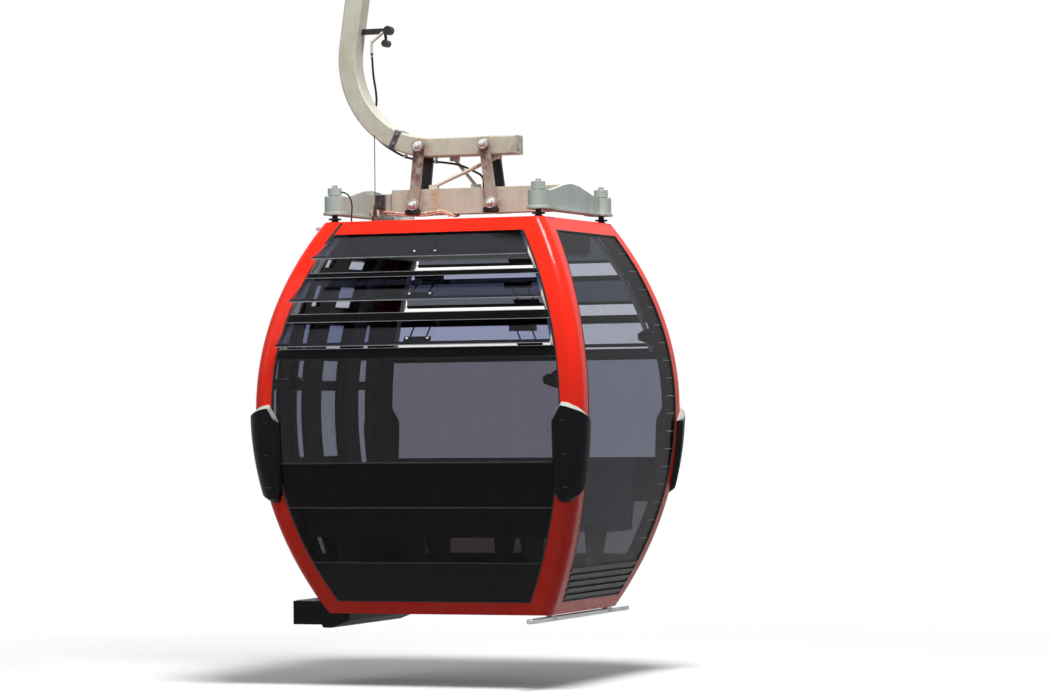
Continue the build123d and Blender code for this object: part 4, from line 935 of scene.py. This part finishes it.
def carrier_welds(made):
    """Weld beads along the foot of each wing plate, at the beam and round the pots."""
    weld_height = CARRIER_FLOOR + 0.001
    for side in SIDES:
        for face in (-0.0125, 0.0125):
            x = side * CARRIER_X + face
            run = [at(x + 0.0008 * sin(90 * y), y, weld_height) for y in steps(-0.445, 0.445, 60)]
            add_tube(made, run, 0.0045, 6)
        for end in SIDES:
            middle = at(side * CARRIER_X, end * CARRIER_Y, weld_height)
            add_tube(made, [middle + offset for offset in round_points(0.061, 40)], 0.004, 6, closed=True)
    for end in SIDES:
        add_tube(made, [at(BEAM_STEP, end * STUB_FACE, z) for z in steps(2.345, 2.456, 12)], 0.004, 6)


def finned_box(made):
    """The small finned housing on the beam's thinner end."""
    middle = at(-0.541, -0.066, 2.410)
    add_box(made, middle, (0.050, 0.038, 0.084), 0.003)
    for offset in steps(-0.036, 0.036, 9):
        add_box(made, middle + Vector((0, -0.019, offset)), (0.056, 0.012, 0.0032), 0.0008)


def pot_hose(made):
    """The thin hose that bends down from the near left pot to the roof."""
    add_tube(made, smooth_path([at(*p) for p in HOSE_ROUTE]), 0.0045, 10)
    foot = Matrix.Translation(at(-0.541, -0.488, 2.2615))
    add_turned(made, foot, ((0.013, 0), (0.013, 0.008), (0.007, 0.014)), 18)


def aerial_foot(made):
    """The aerial's foot and the coil of its spring."""
    place = Matrix.Translation(at(AERIAL_X, AERIAL_Y, ROOF_TOP))
    foot = ((0.030, -0.001), (0.030, 0.004), (0.0225, 0.007), (0.0225, 0.050), (0.017, 0.062))
    add_turned(made, place, foot, 28)
    coil = []
    for i in range(COIL_TURNS * COIL_STEPS):
        turn = 2 * pi * i / COIL_STEPS
        x, y = AERIAL_X + 0.0085 * cos(turn), AERIAL_Y + 0.0085 * sin(turn)
        coil.append(at(x, y, 2.326 + 0.0095 * i / COIL_STEPS))
    add_tube(made, coil, 0.0024, 6)


def roof_lead(made):
    """The lead from the aerial along the low edge of the beam, with a thinner one beside it."""
    path = smooth_path([at(*p) for p in LEAD_ROUTE], 10)
    add_tube(made, path, 0.0065, 10)
    twin = [p + Vector((0.0, -0.002, -0.0115 - 0.002 * sin(0.21 * i))) for i, p in enumerate(path[30:96])]
    add_tube(made, twin, 0.0052, 8)


def roof_lead_ties(made):
    """Ties and a pale terminal block that hold the lead to the beam."""
    for x, z in ((-0.430, 2.3335), (-0.245, 2.3295), (-0.165, 2.3375)):
        ring = ((0.0140, -0.003), (0.0160, -0.003), (0.0160, 0.003), (0.0140, 0.003))
        add_turned(made, linear_frame(at(x, -0.0690, z), Y_AXIS, X_AXIS), ring, 18, hollow=True)
    add_box(made, at(TERMINAL_X, TERMINAL_Y, 2.332), (0.045, 0.030, 0.054), 0.003)
    add_box(made, at(TERMINAL_X, TERMINAL_Y, 2.284), (0.020, 0.020, 0.048), 0.002)


cabin_pieces((
    (link_nuts, "bright_steel", "steel"),
    (link_stops, "rubber", "rubber_black"),
    (arm_collars, "dark_steel", "steel"),
    (lever_link, "cream_metal", "grey_paint"),
    (cable_clips, "steel", "steel"),
    (hub_plate, "cast_iron", "cast_grip"),
    (carrier_bolts, "steel", "steel"),
    (carrier_welds, "grey_paint", "grey_paint"),
    (finned_box, "dark_steel", "black_trim"),
    (pot_hose, "rubber", "rubber_black"),
    (aerial_foot, "rust_brown", "rubber_black"),
    (roof_lead, "lead_pink", "rubber_black"),
    (roof_lead_ties, "cream_metal", "grey_paint"),
))

# ---- cabin body ----

CARRIAGE_X = 0.788
CARRIAGE_BOLTS = 2.247
BENCH_TOP = 0.480
GUIDE_X, GUIDE_HEIGHT = 0.667, -0.023
# Columns: place, 1 or -1 for the side it stands on, root of its arm
WINDOW_UNITS = (
    ((0.748, -0.62, 1.335), 1, (0.975, -0.815, 1.370)),
    ((-0.838, -0.62, 1.335), -1, (-0.975, -0.815, 1.352)),
    ((0.850, 0.66, 1.595), 1, (0.935, 0.785, 1.600)),
)
UNIT_BODY = ((-0.036, -0.018), (0.039, -0.045), (0.036, 0.031), (-0.010, 0.038), (-0.040, 0.018))
UNIT_FIN = ((-0.006, 0.036), (0.036, 0.066), (0.036, 0.030))


def roof_edge_trim(made):
    """The gutter bead round the roof panel."""
    inset, corner = 0.044, 0.026
    height = ROOF_TOP + 0.001
    x = half_at(SIDE_WALL, inset, height) - corner
    y = half_at(END_WALL, inset, height) - corner
    run = []
    for quarter, (sx, sy) in enumerate(((1, 1), (-1, 1), (-1, -1), (1, -1))):
        for turn in steps(0.0, pi / 2, 6):
            angle = quarter * pi / 2 + turn
            run.append(at(sx * x + corner * cos(angle), sy * y + corner * sin(angle), height))
    add_tube(made, run, 0.0045, 8, closed=True)


def roof_ribs(made):
    """Pressed ribs that stiffen the roof panel."""
    for y in (-0.42, -0.32, -0.22, 0.22, 0.32, 0.42):
        add_box(made, at(0.0, y, ROOF_TOP + 0.0015), (0.98, 0.026, 0.006), 0.0028)


def sill_tread(made):
    """Anti-slip ribs on the door sill."""
    for x in steps(-0.918, -0.806, 8):
        add_box(made, at(x, 0.0, 0.0685), (0.006, 0.984, 0.005), 0.0018)


def guide_rail_fittings(made):
    """End plugs and bolts of the guide rail."""
    for end in SIDES:
        plug = facing(at(GUIDE_X, end * 0.783, GUIDE_HEIGHT), Y_AXIS * end)
        add_turned(made, plug, ((0.012, -0.001), (0.012, 0.0005), (0.009, 0.0018)), 20)
        for offset in (-0.018, 0.018):
            spot = facing(at(GUIDE_X + 0.0225, end * 0.45 + offset, GUIDE_HEIGHT), X_AXIS)
            add_hex_bolt(made, spot, 0.010, 0.0045, washer=False)


def door_fittings(made, end):
    """Roller bolts on a leaf's carriage."""
    for y in (0.040, 0.094):
        add_hex_bolt(made, facing(at(-CARRIAGE_X, end * y, CARRIAGE_BOLTS), -X_AXIS), 0.015, 0.007)


def window_units(made):
    """The dark units on short arms inside three of the cabin's corners."""
    for (x, y, z), hand, root in WINDOW_UNITS:
        body = [at(x + hand * across, y, z + up) for across, up in UNIT_BODY]
        fin = [at(x + hand * across, y + 0.012, z + up) for across, up in UNIT_FIN]
        add_prism(made, body, Y_AXIS, 0.050)
        add_prism(made, fin, Y_AXIS, 0.006)
        add_tube(made, (at(x + hand * 0.030, y, z + 0.024), at(*root)), 0.008, 10)


def side_rungs(made):
    """The pale ticks down the rear edge of the side window."""
    for height in steps(0.405, 2.085, 17):
        x = half_at(SIDE_WALL, 0.0135, height)
        front = half_at(END_WALL, 0.245, height)
        back = half_at(END_WALL, PILLAR_ON_SIDE + 0.006, height)
        add_box(made, at(x, (front + back) / 2, height), (0.003, back - front, 0.0035), 0.0008)


def bench_slats(made, end):
    """The moulded seat channels and the front lip of a bench."""
    for y in steps(0.372, 0.660, 7):
        add_box(made, at(0.0, end * y, BENCH_TOP + 0.001), (1.46, 0.030, 0.008), 0.0035)
    add_tube(made, [at(x, end * 0.336, BENCH_TOP - 0.006) for x in (-0.738, 0.738)], 0.009, 12)
    for x in (-0.37, 0.0, 0.37):
        add_box(made, at(x, end * 0.52, BENCH_TOP + 0.004), (0.012, 0.30, 0.010), 0.003)


cabin_pieces((
    (roof_edge_trim, "rubber", "rubber_black"),
    (roof_ribs, "roof_paint", "roof_paint"),
    (sill_tread, "aluminium", "aluminium"),
    (guide_rail_fittings, "steel", "steel"),
    (window_units, "moulded_black", "black_trim"),
    (side_rungs, "cream_metal", "grey_paint"),
))
for place, end in ENDS:
    piece(f"door_fittings_{place}", "steel", f"door_{place}", "steel", door_fittings, end)
    piece(f"bench_slats_{place}", "bench_plastic", "cabin", "bench", bench_slats, end)

# ---- grip ----

SPRING_X, SPRING_Y, SPRING_RADIUS = -0.106, 0.146, 0.028
SPRING_LOW, SPRING_HIGH = 0.020, 0.092
SPRING_TURNS, SPRING_STEPS = 6, 28
JAW_PIN_END = 0.111
DRIVE_PLATE_LOW = 0.2015
CASTING_BOLTS = ((-0.130, -0.090), (-0.085, -0.090), (-0.130, -0.020), (-0.085, -0.055))
# Columns: body, middle x, axle y, axle z, radius, width, bore radius
AXLES = (
    ("running_wheel_front", -0.172, -0.185, -0.020, 0.062, 0.034, 0.017),
    ("running_wheel_rear", -0.172, 0.185, -0.020, 0.062, 0.034, 0.017),
    ("lever_roller", -0.223, 0.0, 0.138, 0.038, 0.026, 0.011),
)


def spring_coils(made):
    """The two round-wire springs under the lever's wings, each on its rod."""
    count = SPRING_TURNS * SPRING_STEPS
    for y in (-SPRING_Y, SPRING_Y):
        coil = []
        for i in range(count + 1):
            turn = 2 * pi * i / SPRING_STEPS
            height = SPRING_LOW + 0.005 + (SPRING_HIGH - SPRING_LOW - 0.010) * i / count
            coil.append(Vector((SPRING_X + SPRING_RADIUS * cos(turn), y + SPRING_RADIUS * sin(turn), height)))
        add_tube(made, coil, 0.0048, 10)
        rod = ((0.016, 0), (0.016, SPRING_HIGH - SPRING_LOW))
        add_turned(made, Matrix.Translation((SPRING_X, y, SPRING_LOW)), rod, 24)


def grip_bolts(made):
    """Bolts and the pin's end caps on the grip casting, and bolts under the drive plate."""
    for end in SIDES:
        pin_end = facing(Vector((-0.080, end * JAW_PIN_END, 0.062)), Y_AXIS * end)
        add_turned(made, pin_end, ((0.024, -0.001), (0.024, 0.004), (0.018, 0.008)), 28)
        for x, z in CASTING_BOLTS:
            add_hex_bolt(made, facing(Vector((x, end * 0.1795, z)), Y_AXIS * end), 0.018, 0.009)
    for y in (-0.24, -0.06, 0.06, 0.24):
        add_hex_bolt(made, facing(Vector((-0.056, y, DRIVE_PLATE_LOW)), -Z_AXIS), 0.016, 0.008)


def wheel_tyre(made, x, y, z, radius, width):
    """A wheel's tread band."""
    inner, outer = radius - 0.006, radius + 0.0004
    half = width * 0.34
    band = ((inner, -half), (outer, -half + 0.001), (outer, half - 0.001), (inner, half))
    add_turned(made, facing(Vector((x, y, z)), -X_AXIS), band, 48, hollow=True)


def wheel_bearing(made, x, y, z, radius, width, bore):
    """The bearing ring and its bolts on a wheel's outer face."""
    middle = facing(Vector((x - width / 2, y, z)), -X_AXIS)
    ring = ((bore + 0.003, -0.001), (bore + 0.003, 0.0030), (bore + 0.013, 0.0030), (bore + 0.014, -0.001))
    add_turned(made, middle, ring, 36, hollow=True)
    for offset in round_points((radius + bore + 0.013) / 2, 6):
        add_hex_bolt(made, middle @ Matrix.Translation(offset), 0.007, 0.0032, washer=False)


coils = piece("spring_coils", "bright_steel", "grip", "steel", spring_coils)
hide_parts("grip_springs")
piece("grip_bolts", "steel", "grip", "steel", grip_bolts)
for body, *axle in AXLES:
    piece(f"{body}_tyre", "tyre_band", body, "rubber_black", wheel_tyre, *axle[:-1])
    piece(f"{body}_bearing", "bright_steel", body, "steel", wheel_bearing, *axle)

# ---- light, floor and camera ----

FLOOR_DROP = 0.42
FLOOR_RADIUS = 60.0
FADE_START, FADE_END = 2.2, 6.0
CAMERA_PLACE = at(8.54983, -20.45256, 1.16694)
CAMERA_AIM = Vector((-0.37234511, 0.9279567, 0.0159835))
CAMERA_UP = Vector((0.01572033, -0.01091342, 0.99981687))
CAMERA_LENS = 129.166
CAMERA_SENSOR = 36.0
LAMP_AIM = at(0.0, 0.0, 1.2)
# Columns: name, place, size, power
LAMPS = (
    ("key", at(3.00, -3.60, 11.1), 3.0, 1750.0),
    ("fill", at(-8.0, -8.5, 6.5), 6.0, 230.0),
    ("rear", at(-3.0, 9.0, 5.0), 5.0, 250.0),
)
WHITE = (1.0, 1.0, 1.0)
SKY_COLOR = (0.93, 0.96, 1.0)
SKY_LIGHT = 0.19
FLOOR_COLOR = (0.86, 0.86, 0.86)
FLOOR_BOUNCE = (0.12, 0.12, 0.12)


def seen_straight(tree):
    """A factor of 1 for rays from the camera, off gloss and through glass, and the light path node."""
    path = node(tree, "LightPath")
    plain = calculate(tree, "MAXIMUM", path.outputs["Is Camera Ray"], path.outputs["Is Glossy Ray"])
    return calculate(tree, "MAXIMUM", plain, path.outputs["Is Transmission Ray"]), path


def mix_shaders(tree, factor, first, second):
    return node(tree, "MixShader", {0: factor, 1: first.outputs[0], 2: second.outputs[0]}).outputs[0]


def white_world():
    """A soft sky that the camera, gloss and glass see as a white backdrop."""
    world = bpy.data.worlds.new("backdrop_light")
    world.use_nodes = True
    tree = world.node_tree
    tree.nodes.clear()
    straight = seen_straight(tree)[0]
    soft = node(tree, "Background", {"Color": SKY_COLOR, "Strength": SKY_LIGHT})
    plain = node(tree, "Background", {"Color": WHITE, "Strength": 1.0})
    output = node(tree, "OutputWorld")
    tree.links.new(mix_shaders(tree, straight, soft, plain), output.inputs[0])
    bpy.context.scene.world = world


def pale_floor():
    """A floor that keeps the shadow near the object and fades into the backdrop."""
    mesh = bpy.data.meshes.new("studio_floor")
    made = bmesh.new()
    bmesh.ops.create_circle(made, cap_ends=True, segments=64, radius=FLOOR_RADIUS)
    made.to_mesh(mesh)
    made.free()
    floor = bpy.data.objects.new("studio_floor", mesh)
    floor.location = at(0.0, 0.0, -FLOOR_DROP)
    bpy.context.scene.collection.objects.link(floor)
    material, tree, shader = new_material("studio_floor", Roughness=0.9, Specular_IOR_Level=0.1)
    straight, path = seen_straight(tree)
    floor_color = blend_colors(tree, path.outputs["Is Diffuse Ray"], FLOOR_COLOR, FLOOR_BOUNCE)
    tree.links.new(floor_color, shader.inputs["Base Color"])
    far = ramp(tree, vector_math(tree, "LENGTH", object_place(tree)), FADE_START, FADE_END)
    white = node(tree, "Emission", {"Color": WHITE, "Strength": 1.0})
    mixed = mix_shaders(tree, calculate(tree, "MULTIPLY", far, straight), shader, white)
    output = next(n for n in tree.nodes if n.type == "OUTPUT_MATERIAL")
    tree.links.new(mixed, output.inputs[0])
    mesh.materials.append(material)


def lamps():
    """Soft square lamps turned towards the cabin."""
    for name, place, size, power in LAMPS:
        data = bpy.data.lights.new(name, "AREA")
        data.size = size
        data.energy = power
        lamp = bpy.data.objects.new(name, data)
        lamp.location = place
        lamp.rotation_euler = (LAMP_AIM - place).to_track_quat("-Z", "Y").to_euler()
        bpy.context.scene.collection.objects.link(lamp)


def camera():
    """The photograph's viewpoint."""
    data = bpy.data.cameras.new("camera")
    data.lens = CAMERA_LENS
    data.sensor_width = CAMERA_SENSOR
    data.clip_end = 200.0
    made = bpy.data.objects.new("camera", data)
    back = -CAMERA_AIM.normalized()
    right = CAMERA_UP.cross(back).normalized()
    up = back.cross(right)
    turn = Matrix((right, up, back)).transposed()
    made.matrix_world = Matrix.Translation(CAMERA_PLACE) @ turn.to_4x4()
    bpy.context.scene.collection.objects.link(made)
    bpy.context.scene.camera = made


white_world()
pale_floor()
lamps()
camera()
bpy.context.scene.view_settings.view_transform = "Standard"
